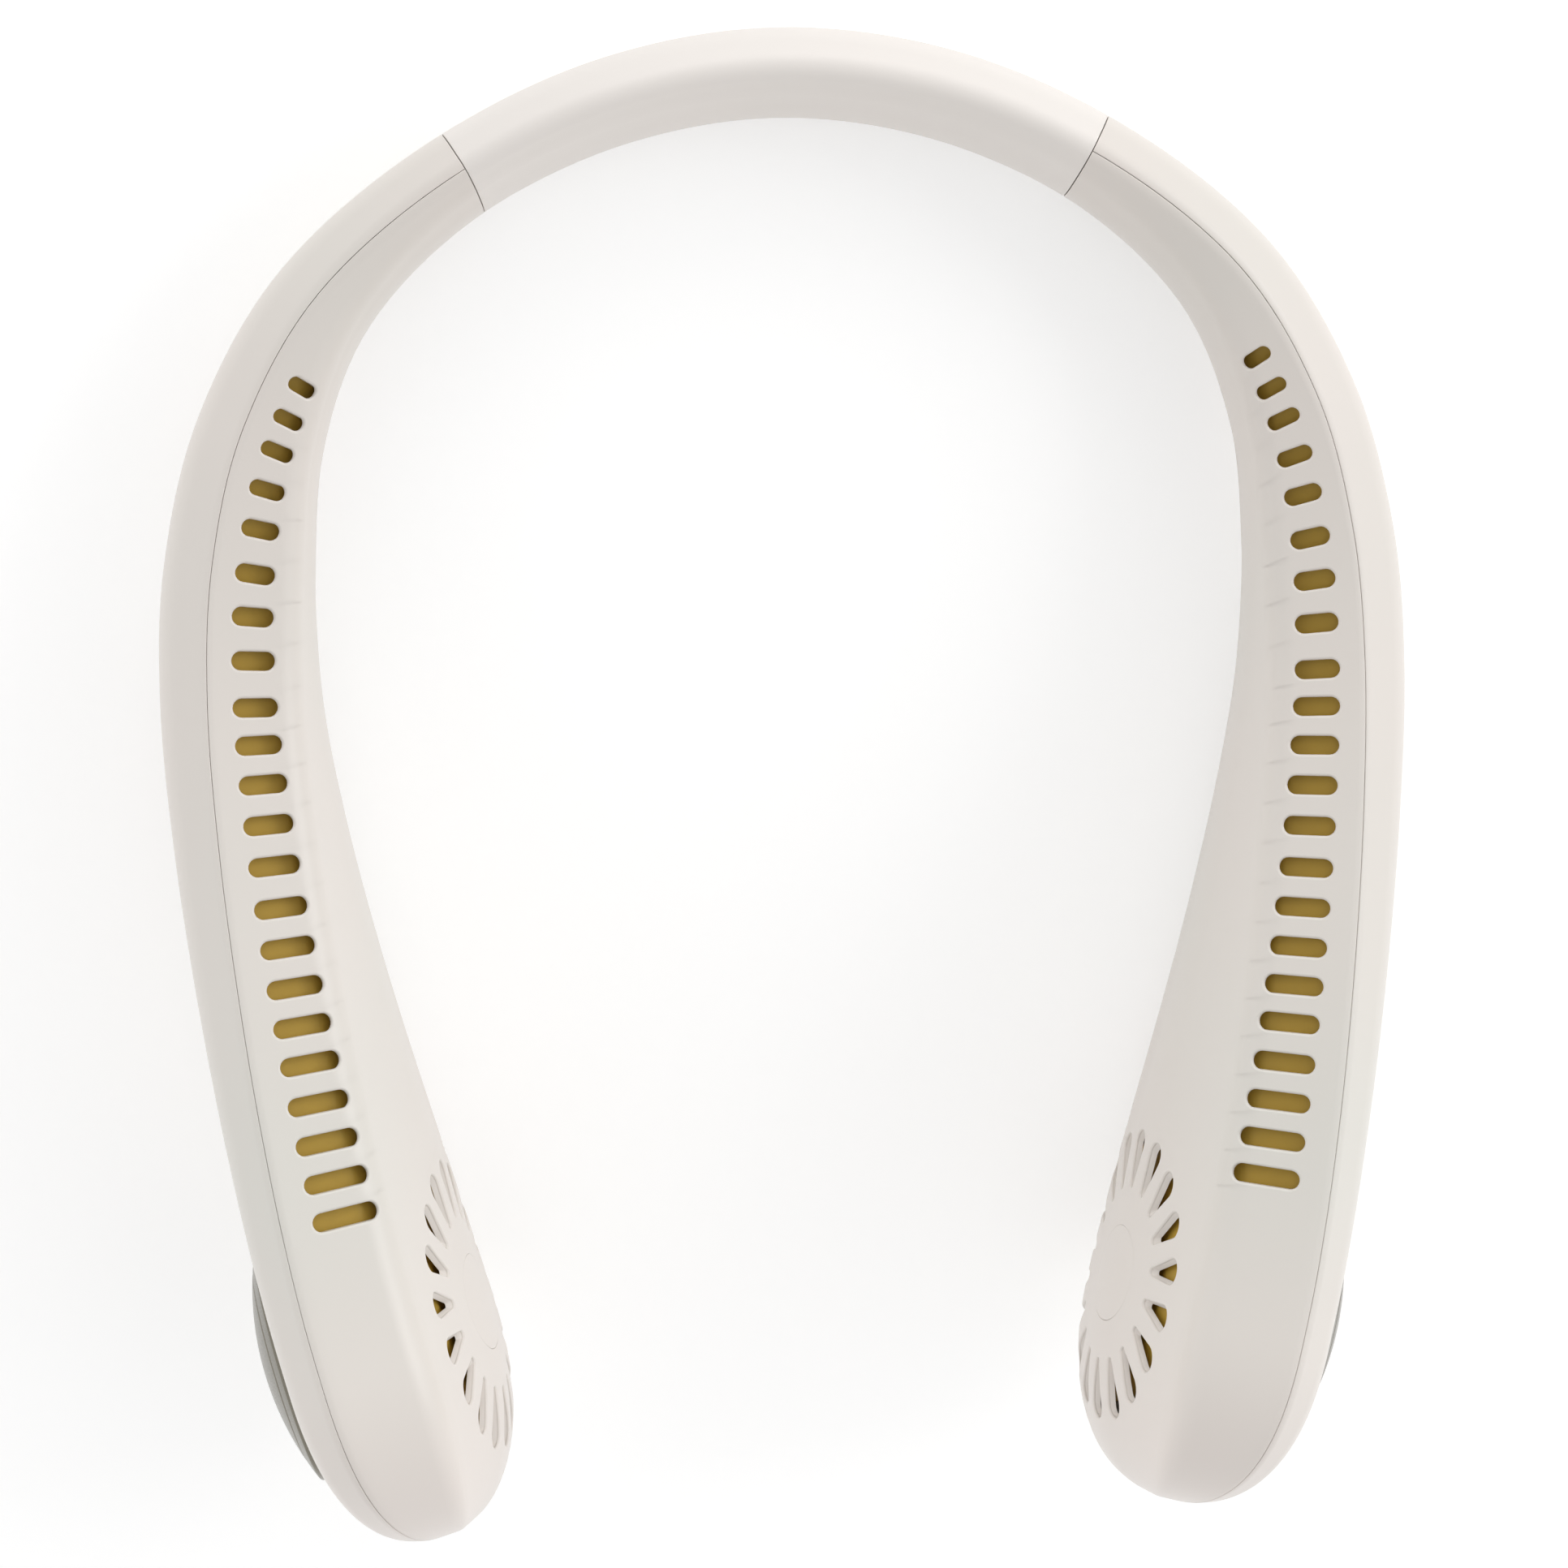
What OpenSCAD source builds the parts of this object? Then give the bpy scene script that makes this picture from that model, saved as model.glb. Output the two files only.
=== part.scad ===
/* [Crest line] */
// Distance between the crests of the two arms where they are widest
crest_span = 171.4; // [150:0.1:190]
// Reach of the crest line, from the neck band to past the arm tips
crest_reach = 217; // [195:0.1:240]
// Height of the neck band's crest over the arms' crest
neck_rise = 25.7; // [20:0.1:30]

/* [Neck band section] */
// Crest to the band's outer face
band_out = 7.5; // [6.5:0.1:9]
// Crest to the foot of the band's inner face
band_in = 3.9; // [3.2:0.1:6]
// Height of the band
band_h = 20; // [18:0.1:23]
// Drop from the crest to the band's outer shoulder
band_drop = 4.6; // [3:0.1:6]
// Bulge of the band's inner face
band_bulge_w = 1.0; // [0.6:0.1:2]

/* [Arm section at mid length] */
// Crest to the arm's outer wall
mid_out = 7.8; // [7:0.1:9.5]
// Width of the slotted face
mid_face = 13.0; // [12:0.1:15]
// Crest to the foot of the inner wall
mid_in = 15.4; // [15:0.1:18]
// Height of the arm
mid_h = 16; // [15:0.1:20]
// Drop of the slotted face from the crest to the brow
mid_drop = 3.6; // [2:0.1:5]

/* [Arm section at the fan] */
// Crest to the arm's outer wall
end_out = 5.7; // [5:0.1:8]
// Width of the top face
end_face = 15.6; // [14:0.1:18]
// Crest to the knee of the inner wall
end_knee = 25.0; // [23:0.1:28]
// Crest to the foot of the inner wall
end_in = 26.8; // [25:0.1:30]
// Height of the arm
end_h = 66; // [60:0.5:70]
// Drop of the top face from the crest to the brow
end_drop = 5.0; // [3:0.1:7]

/* [Shells] */
// Wall of the moulded shells
wall = 1.8; // [1.4:0.1:2.2]
// Wall of the neck sleeve, from its skin to its hollow
sleeve_wall = 1.9; // [1.6:0.1:2.2]
// Open line between the two shells of an arm
seam = 0.2; // [0.1:0.05:0.3]
// Open line between the sleeve and an arm
band_gap = 0.5; // [0.3:0.05:0.8]
// Depth that the resting places are flattened by
rest_flat = 0.4; // [0.2:0.05:0.6]

/* [Air slots] */
// Number of slots in an arm
slot_count = 22; // [16:1:26]
// Length of the first slot, next to the neck band
slot_len_first = 4.6; // [3.6:0.1:5.5]
// Length of the last slot, next to the fan
slot_len_last = 10.2; // [8:0.1:11]
// Width of the first slots
slot_w_first = 2.1; // [1.6:0.1:2.6]
// Width of the others
slot_w = 2.8; // [2:0.1:3.2]

/* [Intake grille] */
// Number of petals
petal_count = 18; // [14:1:20]
// Radius that the petals reach
petal_out = 22.9; // [21:0.1:23.5]
// Radius that the petals start at
petal_in = 13.7; // [12.5:0.1:15]
// Radius of a petal's round outer end
petal_r = 2.0; // [1.4:0.1:2.2]
// Radius of a petal's narrow inner end
petal_root_r = 0.6; // [0.4:0.1:0.8]
// Radius of the round hub cap
cap_r = 7.6; // [6:0.1:9]

/* [Outer disc] */
// Radius of the domed disc
disc_r = 18.5; // [16:0.1:19]
// Height of its dome
disc_dome = 3.8; // [2.8:0.1:4.4]
// Thickness of its rim
disc_rim = 0.9; // [0.5:0.1:1.2]

/* [Fan] */
// Radius of the fan wheel
wheel_r = 17.5; // [16:0.1:18]
// Width of the fan wheel
wheel_h = 12; // [10:0.1:13]
// Number of blades
blade_count = 25; // [15:1:29]
// Depth of a blade along the radius
blade_depth = 3.6; // [3:0.1:4.5]
// Thickness of a blade
blade_t = 0.6; // [0.5:0.05:0.8]
// Depth of the wheel behind the grille's face
wheel_set = 7.4; // [7:0.1:8]
// Radius of the rotor bell
bell_r = 8; // [7.4:0.1:8.6]
// Radius of the motor shaft
shaft_r = 0.75; // [0.6:0.05:1]

/* [Battery] */
// Length of the cell
cell_l = 43; // [36:0.5:45]
// Height of the cell
cell_h = 22; // [16:0.5:23]
// Thickness of the cell
cell_t = 7.6; // [5:0.1:8]
// Thickness of the foam pad
pad_t = 0.8; // [0.5:0.1:1]

/* [Controls] */
// Radius of the power button
button_r = 3.4; // [2.8:0.1:3.8]
// Travel of the power button
button_travel = 0.6; // [0.4:0.1:0.8]
// Width of the charging port's mouth
port_w = 9.0; // [8.8:0.1:9.4]
// Height of the charging port's mouth
port_h = 3.2; // [3.0:0.1:3.6]

/* [Hidden] */
$fn = 48;
eps = 0.5;

// The crest line runs over the band and along each arm. Its places are shares of half the crest
// span, of the crest reach and of the neck rise, an even step apart, from the middle of the band.
crest_shares = [
    [0, 0.4664, 1], [0.2861, 0.4494, 0.951], [0.5544, 0.4022, 0.804], [0.7773, 0.3346, 0.581],
    [0.9142, 0.2513, 0.336], [0.98, 0.1625, 0.146], [1, 0.0704, 0.039], [0.9904, -0.0337, 0],
    [0.9636, -0.1445, 0], [0.9277, -0.249, 0], [0.8821, -0.3463, 0], [0.8226, -0.4402, 0],
    [0.7669, -0.5336, 0]];
crest_points = [for (s = crest_shares) [s.x * crest_span / 2, s.y * crest_reach, s.z * neck_rise]];
last = len(crest_points) - 1;

// Stations along the crest line, counted in steps
seam_at = 1.87;
mid_from = 1.6;
mid_to = 5.6;
end_from = 5.0;
end_to = 10.6;
swell_from = 3.9;
swell_to = 10.6;
round_from = 10.56;
slot_stations = [[0, 3.57], [2, 4.07], [4, 4.69], [8, 6.05], [13, 7.37], [17, 8.36], [21, 9.42]];
fan_at = 10.48;

function ease(x) = let (t = max(0, min(1, x))) t * t * (3 - 2 * t);
function lerp(a, b, t) = a + (b - a) * t;
function unit(v) = v / norm(v);
function flat(lists) = [for (l = lists) for (p = l) p];

function spline(p, u) = let (
    n = len(p),
    i = min(floor(u), n - 2),
    t = u - i,
    a = i == 0 ? [-p[1].x, p[1].y, p[1].z] : p[i - 1],
    b = p[i],
    c = p[i + 1],
    d = i + 2 < n ? p[i + 2] : 2 * p[n - 1] - p[n - 2])
    (2 * b + (c - a) * t + (2 * a - 5 * b + 4 * c - d) * t * t + (3 * b - a - 3 * c + d) * t * t * t) / 2;

// A place on the crest line; a station below zero lies on the left
function crest(u) = let (p = spline(crest_points, abs(u))) [u < 0 ? -p.x : p.x, p.y, p.z];
station_step = 0.01;
function heading(u) = let (d = crest(u + station_step) - crest(u - station_step)) unit([d.x, d.y]);
function outward(u) = let (h = heading(u)) [-h.y, h.x];

// Corners of a section, outward and up from the crest, each with its radius:
// crest, shoulder, outer foot, inner foot, knee and brow
crest_r = 2.4;
band_crest_r = 2.6;
band_shoulder_r = 5.5;
band_foot_r = 3.5;
band_knee_r = 16;
band_brow_r = 9;
band_foot_share = 0.73;
band_knee_share = 0.6;
band_brow_share = 0.69;
band_corners = [
    [0, 0, band_crest_r], [band_out, -band_drop, band_shoulder_r],
    [band_out * band_foot_share, -band_h, band_foot_r], [-band_in, -band_h, band_foot_r],
    [-band_in - band_bulge_w, -band_h * band_knee_share, band_knee_r],
    [-band_in * band_brow_share, -band_drop, band_brow_r]];
shoulder_r = 6;
foot_r = 5;
knee_r = 20;
brow_r = 4.6;
shoulder_share = 1.4;
mid_foot_share = 0.9;
mid_knee_share = 0.97;
mid_knee_drop_share = 0.6;
mid_corners = [
    [0, 0, crest_r], [mid_out, -mid_drop * shoulder_share, shoulder_r],
    [mid_out * mid_foot_share, -mid_h, foot_r], [-mid_in, -mid_h, foot_r],
    [-mid_in * mid_knee_share, -mid_h * mid_knee_drop_share, knee_r],
    [-mid_face, -mid_drop, brow_r]];
end_shoulder_r = 8;
end_outer_foot_r = 14;
end_inner_foot_r = 15;
end_knee_r = 55;
end_brow_r = 6.5;
end_foot_share = 0.79;
end_knee_drop_share = 0.583;
end_corners = [
    [0, 0, crest_r], [end_out, -end_drop * shoulder_share, end_shoulder_r],
    [end_out * end_foot_share, -end_h, end_outer_foot_r], [-end_in, -end_h, end_inner_foot_r],
    [-end_knee, -end_h * end_knee_drop_share, end_knee_r], [-end_face, -end_drop, end_brow_r]];

function corners(u) = let (
    a = ease((abs(u) - mid_from) / (mid_to - mid_from)),
    b = ease((abs(u) - end_from) / (end_to - end_from)),
    c = ease((abs(u) - swell_from) / (swell_to - swell_from)))
    [for (i = [0:5]) let (
        m = lerp(band_corners[i], mid_corners[i], a),
        wide = lerp(m, end_corners[i], b),
        tall = lerp(m, end_corners[i], c),
        low = i > 1 && i < 5)
        [wide.x, low ? tall.y : wide.y, low ? tall.z : wide.z]];

// Points round one corner, set in from the skin
arc_steps = 4;
function corner_arc(a, b, c, r, inset) = let (
    d1 = unit(b - a),
    d2 = unit(c - b),
    phi = atan2(d1.x * d2.y - d1.y * d2.x, d1 * d2),
    start = b - d1 * r * tan(abs(phi) / 2),
    middle = start + sign(phi) * r * [-d1.y, d1.x],
    v = (start - middle) * (r - inset) / r)
    [for (j = [0:arc_steps]) let (t = phi * j / arc_steps)
        middle + [v.x * cos(t) - v.y * sin(t), v.x * sin(t) + v.y * cos(t)]];

function ring(u, inset) = let (q = corners(u), n = len(q)) flat([for (i = [0:n - 1])
    let (a = q[(i + n - 1) % n], b = q[i], c = q[(i + 1) % n])
    corner_arc([a.x, a.y], [b.x, b.y], [c.x, c.y], b.z, inset)]);
ring_count = 6 * (arc_steps + 1);

// The tip closes over the last stretch, towards one point of the section
tip_place_shares = [-0.42, -0.5];
tip_place = [tip_place_shares.x * end_in, tip_place_shares.y * end_h];
tip_power = 2.3;
tip_length = norm(crest(last) - crest(round_from));
function closing(u) = let (t = max(0, (abs(u) - round_from) / (last - round_from)))
    (1 - t ^ tip_power) ^ (1 / tip_power);
function set_in(u, inset) = let (over = max(0, abs(u) - round_from))
    abs(u) - over * inset / tip_length;
function placed(u, p) = let (c = crest(u), o = outward(u)) [c.x + o.x * p.x, c.y + o.y * p.x, c.z + p.y];

// Skin of an arm at a station, or a surface set in from it
function skin(u, inset) = let (k = closing(u), v = set_in(u, inset))
    [for (p = ring(v, inset)) placed(v, tip_place + (p - tip_place) * k)];
function band_skin(u, inset) = [for (p = ring(u, inset)) placed(u, p)];

// The fan is modelled as it is worn, and lies down on its neck band and its two arm ends
rest_stations = [8.5, 9, 9.5, 10, 10.4, 10.8, 11.2];
arm_low = flat([for (u = rest_stations) skin(u, 0)]);
band_low = flat([for (u = [0:0.4:1.6]) band_skin(u, 0)]);
function height_at(p, pitch) = p.z * cos(pitch) - p.y * sin(pitch);
function lowest(points, pitch) = let (h = [for (p = points) height_at(p, pitch)])
    points[search(min(h), h)[0]];
function settle(pitch, turns) = turns == 0 ? pitch : let (
    a = lowest(arm_low, pitch),
    b = lowest(band_low, pitch))
    settle(atan2(b.z - a.z, b.y - a.y), turns - 1);
pitch_guess = 20;
rest_pitch = settle(pitch_guess, 5);
table_level = height_at(lowest(arm_low, rest_pitch), rest_pitch) + rest_flat;
function along(p) = p.y * cos(rest_pitch) + p.z * sin(rest_pitch);
far_side = max([for (p = flat([band_skin(0, 0)])) along(p)]);
near_side = min([for (p = flat([for (u = [11:0.05:last - 0.02]) skin(u, 0)])) along(p)]);
middle_along = (far_side + near_side) / 2;

function laid(p) = [p.x, along(p) - middle_along, max(0, height_at(p, rest_pitch) - table_level)];
module lay_down() {
    translate([0, -middle_along, -table_level])
        rotate([-rest_pitch, 0, 0])
            children();
}
module mirrored() {
    mirror([1, 0, 0])
        children();
}

// Faces between rows of points: each row is one station's points, in the same order
function grid(rows, count, from, turned) = [for (i = [0:rows - 2]) for (j = [0:count - 2]) let (
    a = from + i * count + j,
    b = a + 1,
    c = a + count,
    d = c + 1)
    each turned ? [[a, c, b], [b, c, d]] : [[a, b, c], [b, d, c]]];
function edge_strip(rows, count, column, turned) = let (n = rows * count)
    [for (i = [0:rows - 2]) let (
        a = i * count + column,
        b = a + count,
        c = a + n,
        d = b + n)
        each turned ? [[a, b, c], [b, d, c]] : [[a, c, b], [b, c, d]]];

// A half shell: a strip of the skin and the same strip set in, joined round their edges and
// closed over the tip by the last station's outline
module half_shell(outer, inner) {
    rows = len(outer);
    count = len(outer[0]);
    n = rows * count;
    mouth = [for (j = [0:count - 2]) each [[j, n + j, j + 1], [j + 1, n + j, n + j + 1]]];
    tip = n - count;
    tip_fan = [for (j = [1:count - 2]) [tip, tip + j, tip + j + 1]];
    inner_fan = [for (j = [1:count - 2]) [n + tip, n + tip + j + 1, n + tip + j]];
    tip_edge = [[tip, tip + count - 1, n + tip], [tip + count - 1, n + tip + count - 1, n + tip]];
    polyhedron(
        points = [for (p = flat(concat(outer, inner))) laid(p)],
        faces = [for (f = concat(
            grid(rows, count, 0, true), grid(rows, count, n, false),
            edge_strip(rows, count, 0, false), edge_strip(rows, count, count - 1, true),
            mouth, tip_fan, inner_fan, tip_edge)) [f[2], f[1], f[0]]],
        convexity = 8);
}

// A tube between an outer ring and an inner ring at every station, open at both ends
module tube(outer, inner) {
    rows = len(outer);
    count = len(outer[0]);
    n = rows * count;
    function round_faces(from, turned) = [for (i = [0:rows - 2]) for (j = [0:count - 1]) let (
        k = (j + 1) % count,
        a = from + i * count + j,
        b = from + i * count + k,
        c = a + count,
        d = b + count)
        each turned ? [[a, b, c], [b, d, c]] : [[a, c, b], [b, c, d]]];
    ends = [for (j = [0:count - 1]) let (k = (j + 1) % count, e = n - count)
        each [[j, k, n + j], [k, n + k, n + j], [e + j, n + e + j, e + k], [e + k, n + e + j, n + e + k]]];
    polyhedron(
        points = [for (p = flat(concat(outer, inner))) laid(p)],
        faces = concat(round_faces(0, false), round_faces(n, true), ends),
        convexity = 8);
}

// A bar with one ring at every station; a ring of eight with a hollow is a channel
module bar(rings, ends) {
    rows = len(rings);
    count = len(rings[0]);
    sides = [for (i = [0:rows - 2]) for (j = [0:count - 1]) let (
        k = (j + 1) % count,
        a = i * count + j,
        b = i * count + k,
        c = a + count,
        d = b + count)
        each [[a, c, b], [b, c, d]]];
    first_end = [for (f = ends) f];
    last_end = [for (f = ends) [for (j = [len(f) - 1:-1:0]) f[j] + (rows - 1) * count]];
    polyhedron(
        points = [for (p = flat(rings)) laid(p)],
        faces = concat(sides, first_end, last_end),
        convexity = 6);
}

// Stations of the arm's shells, closer together over the round tip
body_rows = 20;
tip_shares = [0.22, 0.42, 0.6, 0.75, 0.87, 0.95, 0.99];
arm_from = seam_at + band_gap / tip_length;
arm_stations = concat(
    [for (i = [0:body_rows]) lerp(arm_from, round_from, i / body_rows)],
    [for (s = tip_shares) lerp(round_from, last, s)]);

// Where an arm's two shells meet: at the crest, and along the underside
under_share = 0.62;
half_arc = arc_steps / 2;
function nudge(p, q, far) = p + (q - p) * far / norm(q - p);
function outer_run(p) = let (
    under = lerp(p[3 * arc_steps + 3], p[3 * arc_steps + 2], under_share),
    run = concat([for (j = [half_arc:3 * arc_steps + 2]) p[j]], [under]),
    n = len(run) - 1)
    [for (j = [0:n]) j == 0 ? nudge(run[0], run[1], seam / 2)
        : j == n ? nudge(run[n], run[n - 1], seam / 2) : run[j]];
function inner_run(p) = let (
    under = lerp(p[3 * arc_steps + 3], p[3 * arc_steps + 2], under_share),
    run = concat([under], [for (j = [3 * arc_steps + 3:ring_count - 1]) p[j]],
        [for (j = [0:half_arc]) p[j]]),
    n = len(run) - 1)
    [for (j = [0:n]) j == 0 ? nudge(run[0], run[1], seam / 2)
        : j == n ? nudge(run[n], run[n - 1], seam / 2) : run[j]];

// A frame on an arm: x outward, z up, y back along the arm towards the band
module at_station(u, out, up, tilt = 0) {
    c = crest(u);
    o = outward(u);
    translate([c.x + o.x * out, c.y + o.y * out, c.z + up])
        rotate([0, 0, atan2(o.y, o.x)])
            rotate([0, -tilt, 0])
                children();
}

// Slots across the slotted face
function slot_share(i) = i / (slot_count - 1) * last_slot;
slot_out_first = 5.3;
slot_out_last = 9.7;
slot_reach = wall * 2;
last_slot = 21;
module air_slots() {
    for (i = [0:slot_count - 1]) {
        k = slot_share(i);
        u = lookup(k, slot_stations);
        brow = corners(u)[5];
        place = lerp(slot_out_first, slot_out_last, k / last_slot) / -brow.x;
        width = lerp(slot_w_first, slot_w, ease((k - 1) / 5));
        length = lerp(slot_len_first, slot_len_last, k / last_slot);
        tilt = atan2(-brow.y, -brow.x);
        at_station(u, brow.x * place, brow.y * place, tilt)
            translate([0, 0, -slot_reach])
                slot_prism(length, width, slot_reach * 2);
    }
}
module slot_prism(length, width, deep) {
    side = length / 2 - width / 2;
    translate([-side, -width / 2, 0])
        cube([2 * side, width, deep]);
    for (s = [-1, 1])
        translate([s * side, 0, 0])
            cylinder(r = width / 2, h = deep, $fn = 24);
}

// The fan's own frame: its axis leaves the grille's middle square to the inner wall
fan_drop_share = 0.562;
fan_drop = fan_drop_share * end_h;
wall_slope = (end_knee - end_face) / (end_h * end_knee_drop_share - end_drop);
fan_lean_share = 0.8;
fan_lean = fan_lean_share * atan(wall_slope);
fan_out_share = 0.98;
fan_out = -end_face - (fan_drop - end_drop) * wall_slope * fan_out_share;
module at_fan() {
    at_station(fan_at, fan_out, -fan_drop)
        rotate([0, -(90 - fan_lean), 0])
            children();
}

module petals(deep) {
    for (i = [0:petal_count - 1])
        rotate([0, 0, (i + 0.5) * 360 / petal_count])
            translate([0, 0, -deep])
                linear_extrude(height = deep + wall)
                    petal_outline();
}
module petal_outline() {
    far = petal_out - petal_r;
    near = petal_in + petal_root_r;
    lean = asin((petal_r - petal_root_r) / (far - near));
    edge = [sin(lean), -cos(lean)];
    edge2 = [sin(lean), cos(lean)];
    translate([far, 0])
        circle(r = petal_r, $fn = 24);
    translate([near, 0])
        circle(r = petal_root_r, $fn = 16);
    polygon([
        [far, 0] - petal_r * [edge.x, -edge.y], [near, 0] - petal_root_r * [edge.x, -edge.y],
        [near, 0] - petal_root_r * [edge2.x, -edge2.y], [far, 0] - petal_r * [edge2.x, -edge2.y]]);
}

// The outer disc's frame, square to the outer wall
disc_drop_share = 0.48;
disc_drop = disc_drop_share * end_h;
shoulder_low = end_drop * shoulder_share;
disc_out = lerp(end_out, end_out * end_foot_share, (disc_drop - shoulder_low) / (end_h - shoulder_low));
seat_proud = 0.3;
module at_disc() {
    at_station(fan_at, disc_out + seat_proud, -disc_drop)
        rotate([0, 90, 0])
            children();
}

screw_ring = 10;
screw_shift = 4.5;
screw_r = 0.9;
screw_head_r = 1.7;
screw_head_t = 1.0;
fit = 0.05;
module at_screws() {
    for (a = [0, 120, 240])
        translate([screw_shift, 0, 0])
            rotate([0, 0, a])
                translate([screw_ring, 0, 0])
                    children();
}

module arm_inner_shell() {
    color("Cornsilk")
        difference() {
            half_shell(
                [for (u = arm_stations) inner_run(skin(u, 0))],
                [for (u = arm_stations) inner_run(skin(u, wall))]);
            lay_down() {
                air_slots();
                at_fan() {
                    petals(wall_reach);
                    translate([0, 0, -wall_reach])
                        cylinder(r = cap_r + cap_gap, h = wall_reach * 2);
                }
            }
        }
}

cap_gap = 0.15;
wall_reach = 5;

// The seat under the disc is a round pad that carries the wall out to a flat face
seat_gap = 0.4;
seat_r = disc_r + seat_gap;
pad_deep = 3;
module arm_outer_shell(controls) {
    color("Ivory")
        difference() {
            union() {
                half_shell(
                    [for (u = arm_stations) outer_run(skin(u, 0))],
                    [for (u = arm_stations) outer_run(skin(u, wall))]);
                lay_down()
                    at_disc()
                        translate([0, 0, -pad_deep])
                            cylinder(r = seat_r, h = pad_deep);
            }
            lay_down() {
                at_disc() {
                    cylinder(r = seat_r, h = disc_rim + disc_dome);
                    at_screws() {
                        translate([0, 0, -screw_head_t - fit])
                            cylinder(r = screw_head_r + fit, h = screw_head_t + eps);
                        translate([0, 0, -pad_deep - eps])
                            cylinder(r = screw_r + fit, h = pad_deep + eps);
                    }
                }
                if (controls) {
                    at_button()
                        translate([0, 0, -wall * 2])
                            cylinder(r = button_r + fit, h = wall * 4);
                    at_port()
                        port_solid(port_w, port_h, wall * 2);
                    at_light()
                        translate([0, 0, -wall * 2])
                            cylinder(r = light_r + fit, h = wall * 4, $fn = 24);
                }
            }
        }
}

// Controls on the right arm's outer wall
control_drop = 15;
button_at = 6.4;
port_at = 6.95;
light_at = 6.65;
light_drop = 21;
light_r = 0.9;
function wall_out(u, drop) = let (q = corners(u), s = q[1], f = q[2])
    lerp(s.x, f.x, (drop + s.y) / (s.y - f.y));
function wall_lean(u) = let (q = corners(u)) atan2(q[1].x - q[2].x, q[1].y - q[2].y);
module at_wall(u, drop) {
    at_station(u, wall_out(u, drop), -drop)
        rotate([0, 90 + wall_lean(u), 0])
            children();
}
module at_button() {
    at_wall(button_at, control_drop)
        children();
}
module at_port() {
    at_wall(port_at, control_drop)
        children();
}
module at_light() {
    at_wall(light_at, light_drop)
        children();
}
module port_solid(width, height, deep) {
    side = (width - height) / 2;
    for (s = [-1, 1])
        translate([0, s * side, -deep])
            cylinder(r = height / 2, h = deep * 2, $fn = 32);
    translate([-height / 2, -side, -deep])
        cube([height, 2 * side, deep * 2]);
}

button_flange = 0.8;
button_proud = 0.7;
button_skirt = 0.9;
flange_gap = 0.25;
module right_power_button() {
    color("Gainsboro")
        lay_down()
            at_button() {
                translate([0, 0, -wall - button_travel])
                    cylinder(r = button_r, h = wall + button_travel + button_proud);
                translate([0, 0, -wall - flange_gap - button_skirt])
                    cylinder(r = button_r + button_flange, h = button_skirt);
            }
}
board_deep = 6.2;
board_t = 1;
board_l = 23;
board_w = 15;
board_at = 6.68;
board_drop = 16.5;
switch_w = 4.2;
switch_step = 0.6;
solder = 0.2;
module right_control_board() {
    color("SeaGreen")
        lay_down()
            at_wall(board_at, board_drop)
                translate([-board_w / 2, -board_l / 2, -board_deep - board_t])
                    cube([board_w, board_l, board_t]);
}
module right_tact_switch() {
    gap = button_travel + flange_gap + button_skirt + wall + fit;
    foot = board_deep - solder;
    color("DimGray")
        lay_down()
            at_button() {
                translate([-switch_w / 2, -switch_w / 2, -foot])
                    cube([switch_w, switch_w, foot - gap - switch_step]);
                translate([0, 0, -foot])
                    cylinder(r = switch_w / 3, h = foot - gap, $fn = 24);
            }
}
port_wall = 0.3;
tongue_t = 0.7;
port_deep = board_deep - solder;
tongue_w_share = 0.72;
tongue_l_share = 0.84;
module right_charging_port() {
    color("Silver")
        lay_down()
            at_port()
                difference() {
                    intersection() {
                        port_solid(port_w - fit * 2, port_h - fit * 2, port_deep);
                        translate([-port_w, -port_w, -port_deep])
                            cube([port_w * 2, port_w * 2, port_deep]);
                    }
                    difference() {
                        translate([0, 0, port_wall * 3])
                            port_solid(port_w - 2 * port_wall, port_h - 2 * port_wall, port_deep);
                        translate([-tongue_t / 2, -port_w * tongue_w_share / 2, -port_deep])
                            cube([tongue_t, port_w * tongue_w_share, port_deep * tongue_l_share]);
                    }
                }
}
module right_charge_light() {
    color("White")
        lay_down()
            at_light()
                translate([0, 0, -board_deep])
                    cylinder(r = light_r, h = board_deep, $fn = 24);
}

module arm_hub_cap() {
    color("Cornsilk")
        intersection() {
            half_shell(
                [for (u = cap_stations) inner_run(skin(u, 0))],
                [for (u = cap_stations) inner_run(skin(u, wall))]);
            lay_down()
                at_fan()
                    translate([0, 0, -wall_reach])
                        cylinder(r = cap_r, h = wall_reach * 2);
        }
}
cap_stations = [for (u = arm_stations) if (u > 9.5 && u < 11.6) u];

module arm_outer_disc() {
    ball_r = (disc_r * disc_r + disc_dome * disc_dome) / (2 * disc_dome);
    color("DarkGray")
        lay_down()
            at_disc() {
                cylinder(r = disc_r, h = disc_rim);
                translate([0, 0, disc_rim])
                    intersection() {
                        translate([0, 0, disc_dome - ball_r])
                            sphere(r = ball_r, $fn = 96);
                        cylinder(r = disc_r, h = disc_dome);
                    }
            }
}

module arm_shell_screws() {
    color("Silver")
        lay_down()
            at_disc()
                at_screws() {
                    translate([0, 0, -screw_head_t])
                        cylinder(r = screw_head_r, h = screw_head_t - fit, $fn = 24);
                    translate([0, 0, -screw_long])
                        cylinder(r = screw_r, h = screw_long - screw_head_t / 2, $fn = 24);
                }
}
screw_long = 6.5;
thread_gap = 0.02;

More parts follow.
